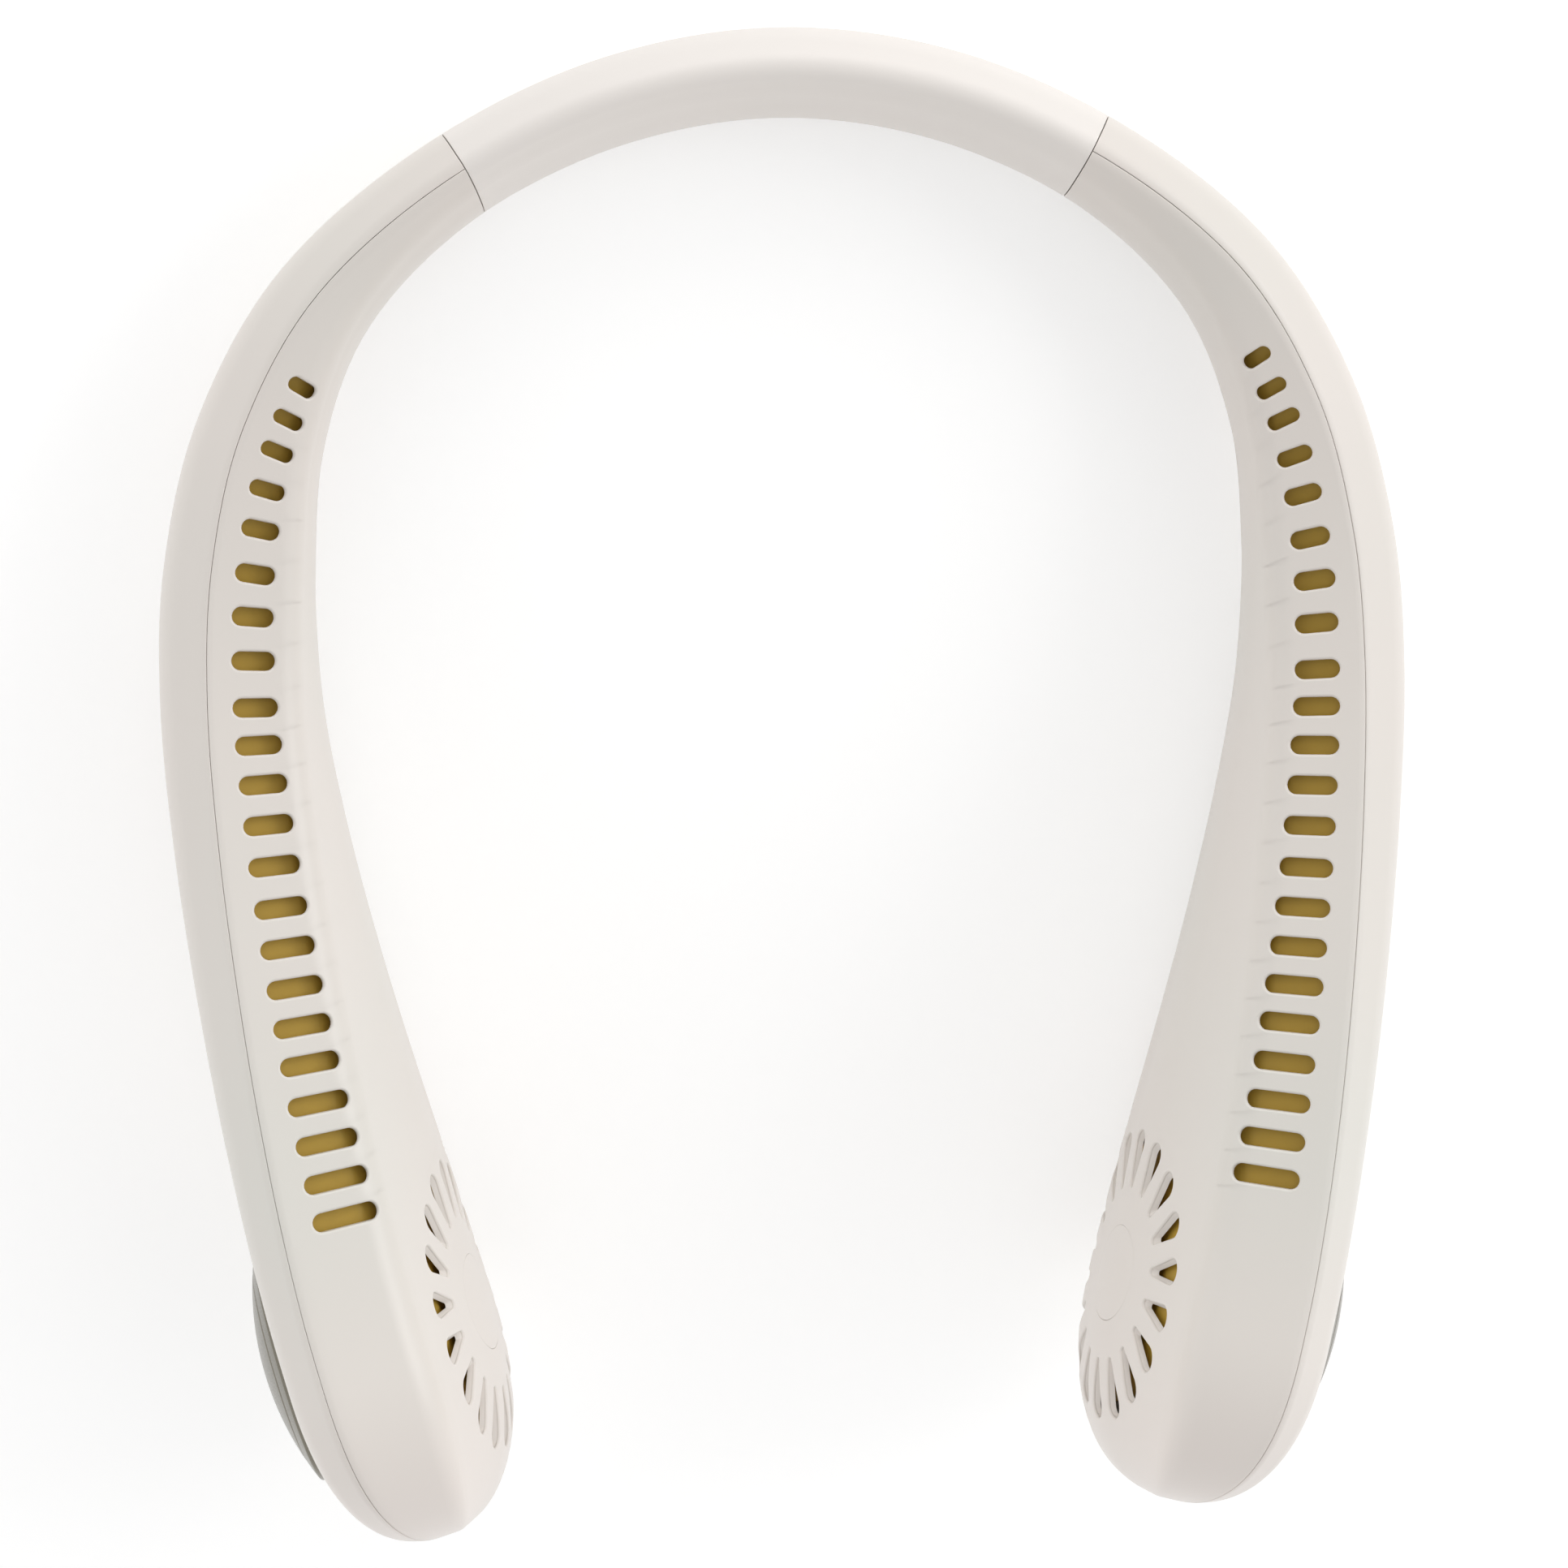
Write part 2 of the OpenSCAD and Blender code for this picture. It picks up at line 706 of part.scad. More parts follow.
// The fan wheel and its motor, from the grille inwards
bell_t = 0.6;
hub_t = 1.0;
hub_set = 1.6;
plate_t = 1.0;
back = wheel_set + wheel_h;
bell_top = wheel_set + hub_set + hub_t;
bell_h = 7.4;
module arm_fan_wheel() {
    color("WhiteSmoke")
        lay_down()
            at_fan()
                fan_wheel_solid();
}
module fan_wheel_solid() {
    translate([0, 0, -back]) {
        difference() {
            union() {
                cylinder(r = wheel_r, h = plate_t, $fn = 96);
                cylinder(r = bell_r + hub_t, h = wheel_h - hub_set);
            }
            translate([0, 0, -eps])
                cylinder(r = bell_r, h = wheel_h - hub_set - hub_t + eps);
        }
        blades();
        translate([0, 0, wheel_h - plate_t])
            difference() {
                cylinder(r = wheel_r, h = plate_t, $fn = 96);
                translate([0, 0, -eps])
                    cylinder(r = wheel_r - plate_t, h = plate_t + 2 * eps, $fn = 96);
            }
    }
}
blade_inset_share = 0.1;
blade_curve_share = 1.1;
blade_turn_share = 0.85;
blade_side_share = 0.7;
module blades() {
    root = wheel_r - blade_depth;
    curve = blade_depth * blade_curve_share;
    for (i = [0:blade_count - 1])
        rotate([0, 0, i * 360 / blade_count])
            translate([0, 0, plate_t / 2])
                linear_extrude(height = wheel_h - plate_t)
                    intersection() {
                        translate([root + blade_depth * blade_inset_share, -curve * blade_turn_share])
                            difference() {
                                circle(r = curve + blade_t / 2);
                                circle(r = curve - blade_t / 2);
                            }
                        difference() {
                            circle(r = wheel_r - blade_depth * blade_inset_share, $fn = 96);
                            circle(r = root, $fn = 96);
                        }
                        translate([root * blade_side_share, -curve * blade_turn_share])
                            square([wheel_r, wheel_r]);
                    }
}
module arm_rotor_bell() {
    color("LightSteelBlue")
        lay_down()
            at_fan()
                translate([0, 0, -bell_top - bell_h])
                    difference() {
                        cylinder(r = bell_r, h = bell_h);
                        translate([0, 0, -eps])
                            cylinder(r = bell_r - bell_t, h = bell_h - bell_t + eps);
                        translate([0, 0, -eps])
                            cylinder(r = shaft_r, h = bell_h + 2 * eps, $fn = 24);
                    }
}
magnet_t = 1.2;
module arm_ring_magnet() {
    color("DimGray")
        lay_down()
            at_fan()
                translate([0, 0, -bell_top - bell_h])
                    difference() {
                        cylinder(r = bell_r - bell_t, h = bell_h - bell_t * 2);
                        translate([0, 0, -eps])
                            cylinder(r = bell_r - bell_t - magnet_t, h = bell_h + 2 * eps);
                    }
}
base_t = 1.2;
base_gap = 0.9;
base_r = 7.5;
base_top = back + base_gap;
module arm_motor_shaft() {
    color("Silver")
        lay_down()
            at_fan()
                translate([0, 0, -base_top - base_t / 2])
                    cylinder(r = shaft_r, h = base_top + base_t / 2 - bell_top, $fn = 24);
}
bush_r = 2;
post_r = 2.8;
bush_h = 8;
module arm_motor_bush() {
    color("DarkGoldenrod")
        lay_down()
            at_fan()
                translate([0, 0, -base_top])
                    difference() {
                        cylinder(r = bush_r, h = bush_h);
                        translate([0, 0, -eps])
                            cylinder(r = shaft_r + fit, h = bush_h + 2 * eps, $fn = 24);
                    }
}
module arm_motor_base() {
    color("WhiteSmoke")
        lay_down()
            at_fan()
                difference() {
                    union() {
                        translate([0, 0, -base_top - base_t])
                            cylinder(r = base_r, h = base_t);
                        translate([0, 0, -base_top - eps])
                            cylinder(r = post_r, h = bush_h + eps);
                    }
                    translate([0, 0, -base_top])
                        cylinder(r = bush_r, h = bush_h + eps);
                    translate([0, 0, -base_top - base_t / 2 - fit])
                        cylinder(r = shaft_r + fit, h = base_t, $fn = 24);
                }
}
tooth_count = 6;
air_gap = 0.35;
stator_r = bell_r - bell_t - magnet_t - air_gap;
stator_h = 4.2;
stator_set = 2.4;
stator_low = base_top - stator_set;
stator_core = 0.9;
tooth_w = 1.6;
shoe_t = 0.7;
module arm_stator() {
    color("SlateGray")
        lay_down()
            at_fan()
                translate([0, 0, -stator_low])
                    difference() {
                        union() {
                            cylinder(r = post_r + stator_core, h = stator_h);
                            for (i = [0:tooth_count - 1])
                                rotate([0, 0, i * 360 / tooth_count]) {
                                    translate([0, -tooth_w / 2, 0])
                                        cube([stator_r - shoe_t / 2, tooth_w, stator_h]);
                                    intersection() {
                                        difference() {
                                            cylinder(r = stator_r, h = stator_h);
                                            translate([0, 0, -eps])
                                                cylinder(r = stator_r - shoe_t, h = stator_h + 2 * eps);
                                        }
                                        translate([0, -tooth_w, 0])
                                            cube([stator_r, 2 * tooth_w, stator_h]);
                                    }
                                }
                        }
                        translate([0, 0, -eps])
                            cylinder(r = post_r, h = stator_h + 2 * eps);
                    }
}
coil_t = 0.5;
coil_gap_share = 1.4;
module arm_motor_coils() {
    from = post_r + stator_core;
    color("Peru")
        lay_down()
            at_fan()
                translate([0, 0, -stator_low])
                    for (i = [0:tooth_count - 1])
                        rotate([0, 0, i * 360 / tooth_count])
                            difference() {
                                translate([from, -tooth_w / 2 - coil_t, -coil_t])
                                    cube([
                                        stator_r - shoe_t * coil_gap_share - from,
                                        tooth_w + 2 * coil_t,
                                        stator_h + 2 * coil_t]);
                                translate([0, -tooth_w / 2, 0])
                                    cube([stator_r, tooth_w, stator_h]);
                            }
}

housing_gap = 0.8;
housing_t = 1.2;
housing_r = wheel_r + housing_gap;
housing_front = 7.2;
housing_back = base_top + base_t;
outlet_w = 17;
outlet_share = 0.55;
post_long = 18;
module arm_fan_housing() {
    color("DarkKhaki")
        lay_down()
            difference() {
                union() {
                    at_fan()
                        translate([0, 0, -housing_back - housing_t])
                            cylinder(
                                r = housing_r + housing_t,
                                h = housing_back + housing_t - housing_front,
                                $fn = 96);
                    at_disc()
                        at_screws()
                            translate([0, 0, -pad_deep - post_long])
                                cylinder(r = screw_r + housing_t, h = post_long);
                }
                at_fan() {
                    translate([0, 0, -housing_back])
                        cylinder(r = housing_r, h = housing_back + post_long, $fn = 96);
                    translate([-housing_r * outlet_share, 0, -housing_back])
                        cube([
                            outlet_w,
                            housing_r + post_long,
                            housing_back - housing_front - housing_t * 2]);
                }
                at_disc()
                    at_screws()
                        translate([0, 0, -screw_long - eps])
                            cylinder(r = screw_r + thread_gap, h = screw_long + eps, $fn = 24);
            }
}

// The duct is a shallow channel under the slotted face, and its floor is what the slots show
duct_t = 0.8;
duct_gap = 0.25;
duct_step = 1.3;
duct_from = 3.3;
duct_to = 9.7;
duct_rows = 15;
duct_deep_mid = 2.6;
duct_deep_end = 3.6;
duct_out_shares = [0.24, 0.2];
duct_in_shares = [0.78, 0.9];
function duct_ring(u) = let (
    brow = corners(u)[5],
    tilt = atan2(-brow.y, -brow.x),
    across = [cos(tilt), sin(tilt)],
    down = [sin(tilt), -cos(tilt)],
    far = norm([brow.x, brow.y]),
    deep = lerp(duct_deep_mid, duct_deep_end, ease((u - swell_from) / (swell_to - swell_from))),
    top = wall + duct_gap,
    out = -lerp(duct_out_shares.x, duct_out_shares.y, u / last) * far,
    in = -lerp(duct_in_shares.x, duct_in_shares.y, u / last) * far,
    step = top + duct_step,
    p = [
        across * out + down * top, across * out + down * (top + deep),
        across * in + down * (top + deep), across * in + down * step,
        across * (in + duct_t) + down * step, across * (in + duct_t) + down * (top + deep - duct_t),
        across * (out - duct_t) + down * (top + deep - duct_t), across * (out - duct_t) + down * top])
    [for (q = p) placed(u, q)];
module arm_air_duct() {
    color("Olive")
        bar(
            [for (i = [0:duct_rows]) duct_ring(lerp(duct_from, duct_to, i / duct_rows))],
            [[0, 1, 6, 7], [1, 2, 5, 6], [2, 3, 4, 5]]);
}

// The cell is held to the outer wall by its foam pad
cell_at = 8.36;
cell_drop = 15.5;
cell_round = 1.2;
module arm_battery() {
    color("LightSkyBlue")
        lay_down()
            at_wall(cell_at, cell_drop + cell_h / 2)
                translate([0, 0, -wall - wall_bow - pad_t - cell_t])
                    linear_extrude(height = cell_t)
                        rounded_square(cell_h, cell_l, cell_round);
}
wall_bow = 1.2;
pad_share = 0.7;
module arm_battery_pad() {
    color("DimGray")
        lay_down()
            at_wall(cell_at, cell_drop + cell_h / 2)
                translate([-cell_h * pad_share / 2, -cell_l * pad_share / 2, -wall - wall_bow - pad_t])
                    cube([cell_h * pad_share, cell_l * pad_share, pad_t]);
}
module rounded_square(w, l, r) {
    for (x = [-1, 1])
        for (y = [-1, 1])
            translate([x * (w / 2 - r), y * (l / 2 - r)])
                circle(r = r, $fn = 24);
    square([w - 2 * r, l], center = true);
    square([w, l - 2 * r], center = true);
}

// The neck band: a soft sleeve over a spring strip and the wires between the arms
hollow_w = 3.4;
hollow_h = 11.4;
hollow_mid_share = -0.52;
hollow_mid = hollow_mid_share * band_h;
hollow_out = 1.6;
function hollow_corners(g) = let (
    w = hollow_w / 2 + g,
    h = hollow_h / 2 + g)
    [[hollow_out, hollow_mid + h], [hollow_out + w, hollow_mid + h], [hollow_out + w, hollow_mid - h],
     [hollow_out - w, hollow_mid - h], [hollow_out - w, hollow_mid], [hollow_out - w, hollow_mid + h]];
function hollow_ring(u, g) = let (q = hollow_corners(g), n = len(q)) flat([for (i = [0:n - 1])
    let (b = q[i], c = q[(i + 1) % n])
    [for (j = [0:arc_steps]) placed(u, lerp(b, c, j / (arc_steps + 1)))]]);
sleeve_rows = 18;
sleeve_stations = [for (i = [0:sleeve_rows]) lerp(-seam_at, seam_at, i / sleeve_rows)];
module neck_sleeve() {
    color("AntiqueWhite")
        tube(
            [for (u = sleeve_stations) band_skin(u, 0)],
            [for (u = sleeve_stations) hollow_ring(u, 0)]);
}
plug_gap = 0.3;
plug_wall = 0.5;
plug_stations = [1.6, 1.74, 1.87, 2.0, 2.14, 2.28];
module arm_neck_plug() {
    color("Gray")
        tube(
            [for (u = plug_stations) hollow_ring(u, -plug_gap)],
            [for (u = plug_stations) hollow_ring(u, -plug_gap - plug_wall)]);
}
strip_t = 0.5;
strip_h = 8.4;
strip_stations = [for (i = [0:16]) lerp(-2.2, 2.2, i / 16)];
module band_spring() {
    out = hollow_out + hollow_w / 2 - plug_gap - plug_wall - fit;
    color("LightSteelBlue")
        bar(
            [for (u = strip_stations) [for (q = [
                [out, hollow_mid + strip_h / 2], [out, hollow_mid - strip_h / 2],
                [out - strip_t, hollow_mid - strip_h / 2], [out - strip_t, hollow_mid + strip_h / 2]])
                placed(u, q)]],
            [[0, 1, 2, 3]]);
}
loom_r = 0.45;
loom_gap = 0.15;
loom_to = 5.9;
module wire_loom() {
    out = hollow_out - hollow_w / 2 + plug_gap + plug_wall + loom_gap + loom_r;
    color("Crimson")
        bar(
            [for (u = [for (i = [0:36]) lerp(-loom_to, loom_to, i / 36)]) [for (a = [0:45:315])
                placed(u, [out, hollow_mid] + loom_r * [cos(a), -sin(a)])]],
            [[0, 1, 2, 3, 4, 5, 6, 7]]);
}

neck_sleeve();
band_spring();
wire_loom();
arm_inner_shell();  // right_inner_shell
mirrored() arm_inner_shell();  // left_inner_shell
arm_outer_shell(true);  // right_outer_shell
mirrored() arm_outer_shell(false);  // left_outer_shell
arm_neck_plug();  // right_neck_plug
mirrored() arm_neck_plug();  // left_neck_plug
arm_air_duct();  // right_air_duct
mirrored() arm_air_duct();  // left_air_duct
arm_fan_housing();  // right_fan_housing
mirrored() arm_fan_housing();  // left_fan_housing
arm_hub_cap();  // right_hub_cap
mirrored() arm_hub_cap();  // left_hub_cap
arm_outer_disc();  // right_outer_disc
mirrored() arm_outer_disc();  // left_outer_disc
arm_shell_screws();  // right_shell_screws
mirrored() arm_shell_screws();  // left_shell_screws
arm_fan_wheel();  // right_fan_wheel
mirrored() arm_fan_wheel();  // left_fan_wheel
arm_rotor_bell();  // right_rotor_bell
mirrored() arm_rotor_bell();  // left_rotor_bell
arm_ring_magnet();  // right_ring_magnet
mirrored() arm_ring_magnet();  // left_ring_magnet
arm_motor_shaft();  // right_motor_shaft
mirrored() arm_motor_shaft();  // left_motor_shaft
arm_motor_bush();  // right_motor_bush
mirrored() arm_motor_bush();  // left_motor_bush
arm_motor_base();  // right_motor_base
mirrored() arm_motor_base();  // left_motor_base
arm_stator();  // right_stator
mirrored() arm_stator();  // left_stator
arm_motor_coils();  // right_motor_coils
mirrored() arm_motor_coils();  // left_motor_coils
arm_battery();  // right_battery
mirrored() arm_battery();  // left_battery
arm_battery_pad();  // right_battery_pad
mirrored() arm_battery_pad();  // left_battery_pad
right_control_board();  // control_board
right_charging_port();  // charging_port
right_tact_switch();  // tact_switch
right_charge_light();  // charge_light
right_power_button();  // power_button
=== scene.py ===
# %% [markdown]
# # An electric neck fan
# The real thing is a U of moulded plastic that hangs on the neck. A soft band lies behind the
# neck, and two hollow arms reach forward. Each arm has a row of air slots on its upper face and
# a round grille with petals near its end. The CAD solids already hold every size, so this
# notebook only gives the fan its looks. It starts by loading those solids as a fixed frame.

# %% Load the frame
import bpy
import numpy as np
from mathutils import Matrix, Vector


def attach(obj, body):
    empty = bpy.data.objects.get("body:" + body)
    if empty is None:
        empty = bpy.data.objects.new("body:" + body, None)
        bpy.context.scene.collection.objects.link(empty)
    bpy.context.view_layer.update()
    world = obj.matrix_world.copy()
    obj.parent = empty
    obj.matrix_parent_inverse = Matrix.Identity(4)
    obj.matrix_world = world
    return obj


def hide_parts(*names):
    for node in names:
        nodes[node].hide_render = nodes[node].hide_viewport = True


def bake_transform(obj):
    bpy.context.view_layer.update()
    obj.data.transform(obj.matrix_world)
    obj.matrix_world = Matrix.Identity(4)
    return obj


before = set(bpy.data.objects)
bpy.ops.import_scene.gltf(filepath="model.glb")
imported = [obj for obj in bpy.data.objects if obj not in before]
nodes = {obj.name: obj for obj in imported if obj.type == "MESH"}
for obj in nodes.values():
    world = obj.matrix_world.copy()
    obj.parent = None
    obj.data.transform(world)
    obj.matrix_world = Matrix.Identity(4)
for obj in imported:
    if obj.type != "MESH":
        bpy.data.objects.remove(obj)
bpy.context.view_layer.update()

# %% [markdown]
# ## The crest line
# Each arm has a crest, the line where its two half shells meet. On the real fan the whole shape
# follows that line, so a section carried along it gives the arm. The line is a smooth curve
# through thirteen places, an even step apart, from the middle of the band to past the tip.
# A station is a distance along it, counted in steps. All lengths here are in millimetres, as
# worn, and the part "From worn to laid down" turns them into metres at rest.

# %% Crest line
CREST_SPAN, CREST_REACH, NECK_RISE = 171.4, 217.0, 25.7
CREST_SHARES = np.array([
    [0, 0.4664, 1], [0.2861, 0.4494, 0.951], [0.5544, 0.4022, 0.804], [0.7773, 0.3346, 0.581],
    [0.9142, 0.2513, 0.336], [0.98, 0.1625, 0.146], [1, 0.0704, 0.039], [0.9904, -0.0337, 0],
    [0.9636, -0.1445, 0], [0.9277, -0.249, 0], [0.8821, -0.3463, 0], [0.8226, -0.4402, 0],
    [0.7669, -0.5336, 0]])
CREST_PLACES = CREST_SHARES * [CREST_SPAN / 2, CREST_REACH, NECK_RISE]
LAST = len(CREST_PLACES) - 1
KNOTS = np.vstack([
    CREST_PLACES[1] * [-1, 1, 1], CREST_PLACES, 2 * CREST_PLACES[-1] - CREST_PLACES[-2]])
STRIDE = 0.01


def crest(u):
    """A point of the crest at station u. Between two places it is the cubic whose slope at
    each place is half the step between that place's neighbours."""
    v = np.abs(u)
    i = np.minimum(v.astype(int), LAST - 1)
    t = (v - i)[..., None]
    a, b, c, d = (KNOTS[i + k] for k in range(4))
    p = (2 * b + (c - a) * t + (2 * a - 5 * b + 4 * c - d) * t ** 2
         + (3 * b - a - 3 * c + d) * t ** 3) / 2
    p[..., 0] *= np.where(u < 0, -1, 1)
    return p


def unit(v):
    """A vector divided by its length."""
    return v / np.maximum(np.linalg.norm(v, axis=-1, keepdims=True), 1e-12)


def heading(u):
    """The level direction of the crest, from the two points of it a stride behind and ahead."""
    return unit((crest(u + STRIDE) - crest(u - STRIDE))[..., :2])


fine_crest = crest(np.linspace(0, LAST, 400))
crest_length = np.linalg.norm(np.diff(fine_crest, axis=0), axis=1).sum()
print("crest length of one arm:", round(float(crest_length)), "mm")

# %% [markdown]
# ## The section
# A cut across the arm has six rounded corners: crest, shoulder, outer foot, inner foot, knee
# and brow. There is one such cut for the band, one for the middle of the arm and one for the
# fan, and smooth weights turn each into the next. Moving the corners is simpler than drawing
# many cuts, and no bump can come in between them.

# %% Corners
BAND = np.array([[0, 0, 2.6], [7.5, -4.6, 5.5], [5.475, -20, 3.5],
                 [-3.9, -20, 3.5], [-4.9, -12, 16], [-2.691, -4.6, 9]])
MIDDLE = np.array([[0, 0, 2.4], [7.8, -5.04, 6], [7.02, -16, 5],
                   [-15.4, -16, 5], [-14.938, -9.6, 20], [-13, -3.6, 4.6]])
END = np.array([[0, 0, 2.4], [5.7, -7, 8], [4.503, -66, 14],
                [-26.8, -66, 15], [-25, -38.478, 55], [-15.6, -5, 6.5]])
# Where each change starts, and over how many steps it goes.
TO_MIDDLE, TO_END, FEET_TO_END = (1.6, 4.0), (5.0, 5.6), (3.9, 6.7)


def ease(x):
    """A weight that goes from 0 to 1 with a level start and a level end: 3 x^2 - 2 x^3."""
    x = np.clip(x, 0, 1)
    return x * x * (3 - 2 * x)


def corners(u):
    """The six corners at station u, each outward, up and radius. The crest, shoulder and brow
    turn into the fan's with one weight, and the feet and the knee sink earlier, with another."""
    v = np.abs(u)[:, None, None]
    weight = lambda change: ease((v - change[0]) / change[1])
    middle = BAND + (MIDDLE - BAND) * weight(TO_MIDDLE)
    low = middle + (END - middle) * weight(FEET_TO_END)
    q = middle + (END - middle) * weight(TO_END)
    q[:, 2:5, 1:] = low[:, 2:5, 1:]
    return q


print("the brow at station 7:", np.round(corners(np.array([7.0]))[0, 5], 2))

# %% [markdown]
# ## Round the cut
# A second number, s, goes once round the cut in six steps: the first half of a step is the
# corner's arc, the second half the straight to the next corner. With a depth as third number,
# every point of the wall has three numbers, so an inner wall costs no new drawing.

# %% Round the cut
def corner_arc(a, b, c, share, inset):
    """A point of the arc that rounds corner b, share of the way along it, set in by inset."""
    d1, d2 = unit(b[:, :2] - a[:, :2]), unit(c[:, :2] - b[:, :2])
    turn = np.arctan2(d1[:, 0] * d2[:, 1] - d1[:, 1] * d2[:, 0], (d1 * d2).sum(1))
    r = b[:, 2]
    start = b[:, :2] - d1 * (r * np.tan(np.abs(turn) / 2))[:, None]
    centre = start + (np.sign(turn) * r)[:, None] * np.stack([-d1[:, 1], d1[:, 0]], 1)
    v = (start - centre) * ((r - inset) / r)[:, None]
    cos, sin = np.cos(turn * share)[:, None], np.sin(turn * share)[:, None]
    return centre + v * cos + np.stack([-v[:, 1], v[:, 0]], 1) * sin


def section(u, s, inset):
    """A point of the cut at station u, round it by s, set in by inset: on the corner's arc in
    the first half of a step, and on the line from its end to the next arc in the second."""
    q, i, f = corners(u), np.floor(s).astype(int), s - np.floor(s)
    row = np.arange(len(u))
    a, b, c, d = (q[row, (i + k) % 6] for k in (-1, 0, 1, 2))
    on_arc = corner_arc(a, b, c, np.clip(2 * f, 0, 1), inset)
    ahead = corner_arc(b, c, d, np.zeros(len(u)), inset)
    return on_arc + (ahead - on_arc) * np.clip(2 * f - 1, 0, 1)[:, None]


def placed(u, p):
    """A point of a cut, outward and up from the crest, set beside the crest at station u."""
    c, h = crest(u), heading(u)
    x, y = c[:, 0] - h[:, 1] * p[:, 0], c[:, 1] + h[:, 0] * p[:, 0]
    return np.stack([x, y, c[:, 2] + p[:, 1]], 1)


ring_of_seven = section(np.full(60, 7.0), np.linspace(0, 6, 61)[:-1], 0)
print("the cut at station 7 is", np.round(np.ptp(ring_of_seven, axis=0), 1), "mm wide and high")

# %% [markdown]
# ## The walls
# The arm ends in a round tip. There its cut shrinks towards one place, as fast as a circle that
# is a little squarer would, and the wall keeps its thickness. The band has no such end.

# %% Walls
ROUND_FROM, TIP_POWER = 10.56, 2.3
TIP_PLACE = END[3, :2] * [0.42, 0.5]
TIP_LENGTH = float(np.linalg.norm(np.diff(crest(np.array([ROUND_FROM, LAST])), axis=0)))
NEAR_TIP, SLOPE_STRIDE = LAST - 0.01, 0.003


def equally_long(*numbers):
    """Numbers and grids as rows of one length."""
    return [x.ravel().astype(float) for x in np.broadcast_arrays(*numbers)]


def arm_wall(u, s, depth):
    """A point of the arm's wall. Past station 10.56 the cut shrinks towards one place of it by
    (1 - t^2.3)^(1/2.3), which rounds the tip off."""
    u, s, depth = equally_long(u, s, depth)
    over = np.maximum(0, u - ROUND_FROM)
    t = np.clip(over / (LAST - ROUND_FROM), 0, 1)
    k = (1 - t ** TIP_POWER) ** (1 / TIP_POWER)
    v = u - over * depth / TIP_LENGTH
    return placed(v, TIP_PLACE + (section(v, s, depth) - TIP_PLACE) * k[:, None])


def band_wall(u, s, depth):
    """A point of the neck band's wall, with no rounding off."""
    u, s, depth = equally_long(u, s, depth)
    return placed(u, section(u, s, depth))


def outward(wall, u, s):
    """The direction out of a wall: the cross product of its slopes along s and along u."""
    u = np.clip(u, -NEAR_TIP, NEAR_TIP)
    along = wall(u + SLOPE_STRIDE, s, 0) - wall(u - SLOPE_STRIDE, s, 0)
    round_it = wall(u, s + SLOPE_STRIDE, 0) - wall(u, s - SLOPE_STRIDE, 0)
    return unit(np.cross(along, round_it))


print("the outer wall's direction at station 7:",
      np.round(outward(arm_wall, np.array([7.0]), np.array([1.75]))[0], 2))

# %% [markdown]
# ## From worn to laid down
# The fan lies on its band and on its two arm ends, so the worn shape is tipped by a little more
# than 22 degrees about X. The three places that it rests on are flattened by 0.4 mm.

# %% Lay it down
PITCH, ALONG_MIDDLE, TABLE = np.radians(22.3723), -7.05033, -34.0287
COS, SIN = np.cos(PITCH), np.sin(PITCH)


def laid(p):
    """Worn millimetres to metres at rest: tip about X, shift, and flatten at the table."""
    y = p[:, 1] * COS + p[:, 2] * SIN - ALONG_MIDDLE
    z = p[:, 2] * COS - p[:, 1] * SIN - TABLE
    return np.stack([p[:, 0], y, np.maximum(z, 0)], 1) / 1000


def tipped(v):
    """The same turn for a direction."""
    return np.stack([v[:, 0], v[:, 1] * COS + v[:, 2] * SIN, v[:, 2] * COS - v[:, 1] * SIN], 1)


print("crest at the middle of the band:", np.round(laid(crest(np.array([0.0])))[0], 4))

# %% [markdown]
# ## A net of points
# A moulded shell is a thin wall with rounded edges and holes. Boolean cuts would leave creases
# in its gloss, so the mesh is laid out to fit: a grid, with some rectangles of cells left open,
# and each opening bridged by loops that run over a rounded lip, down the wall and out along the
# inside. Every point carries its true normal, and so the gloss is smooth across the joins.

# %% Circles and rectangles
def full_turn(count):
    """Angles once round, an even step apart."""
    return np.linspace(0, 2 * np.pi, count + 1)[:-1]


def compass(angles):
    """The directions at the angles, as x and y: their cosine and sine."""
    return np.stack([np.cos(angles), np.sin(angles)], -1)


def wrap(ids):
    """A grid closed round: its first column once more at its end."""
    return np.concatenate([ids, ids[:, :1]], 1)


def rim(ids, i0, i1, j0, j1):
    """What lies round a rectangle of a grid: up its first side and round, closed."""
    return np.concatenate([ids[i0:i1, j0], ids[i1, j0:j1], ids[i1:i0:-1, j1], ids[i0, j1:j0:-1]])


print("a rectangle of 3 by 4 cells has", len(rim(np.zeros((6, 6)), 0, 3, 0, 4)), "points round it")

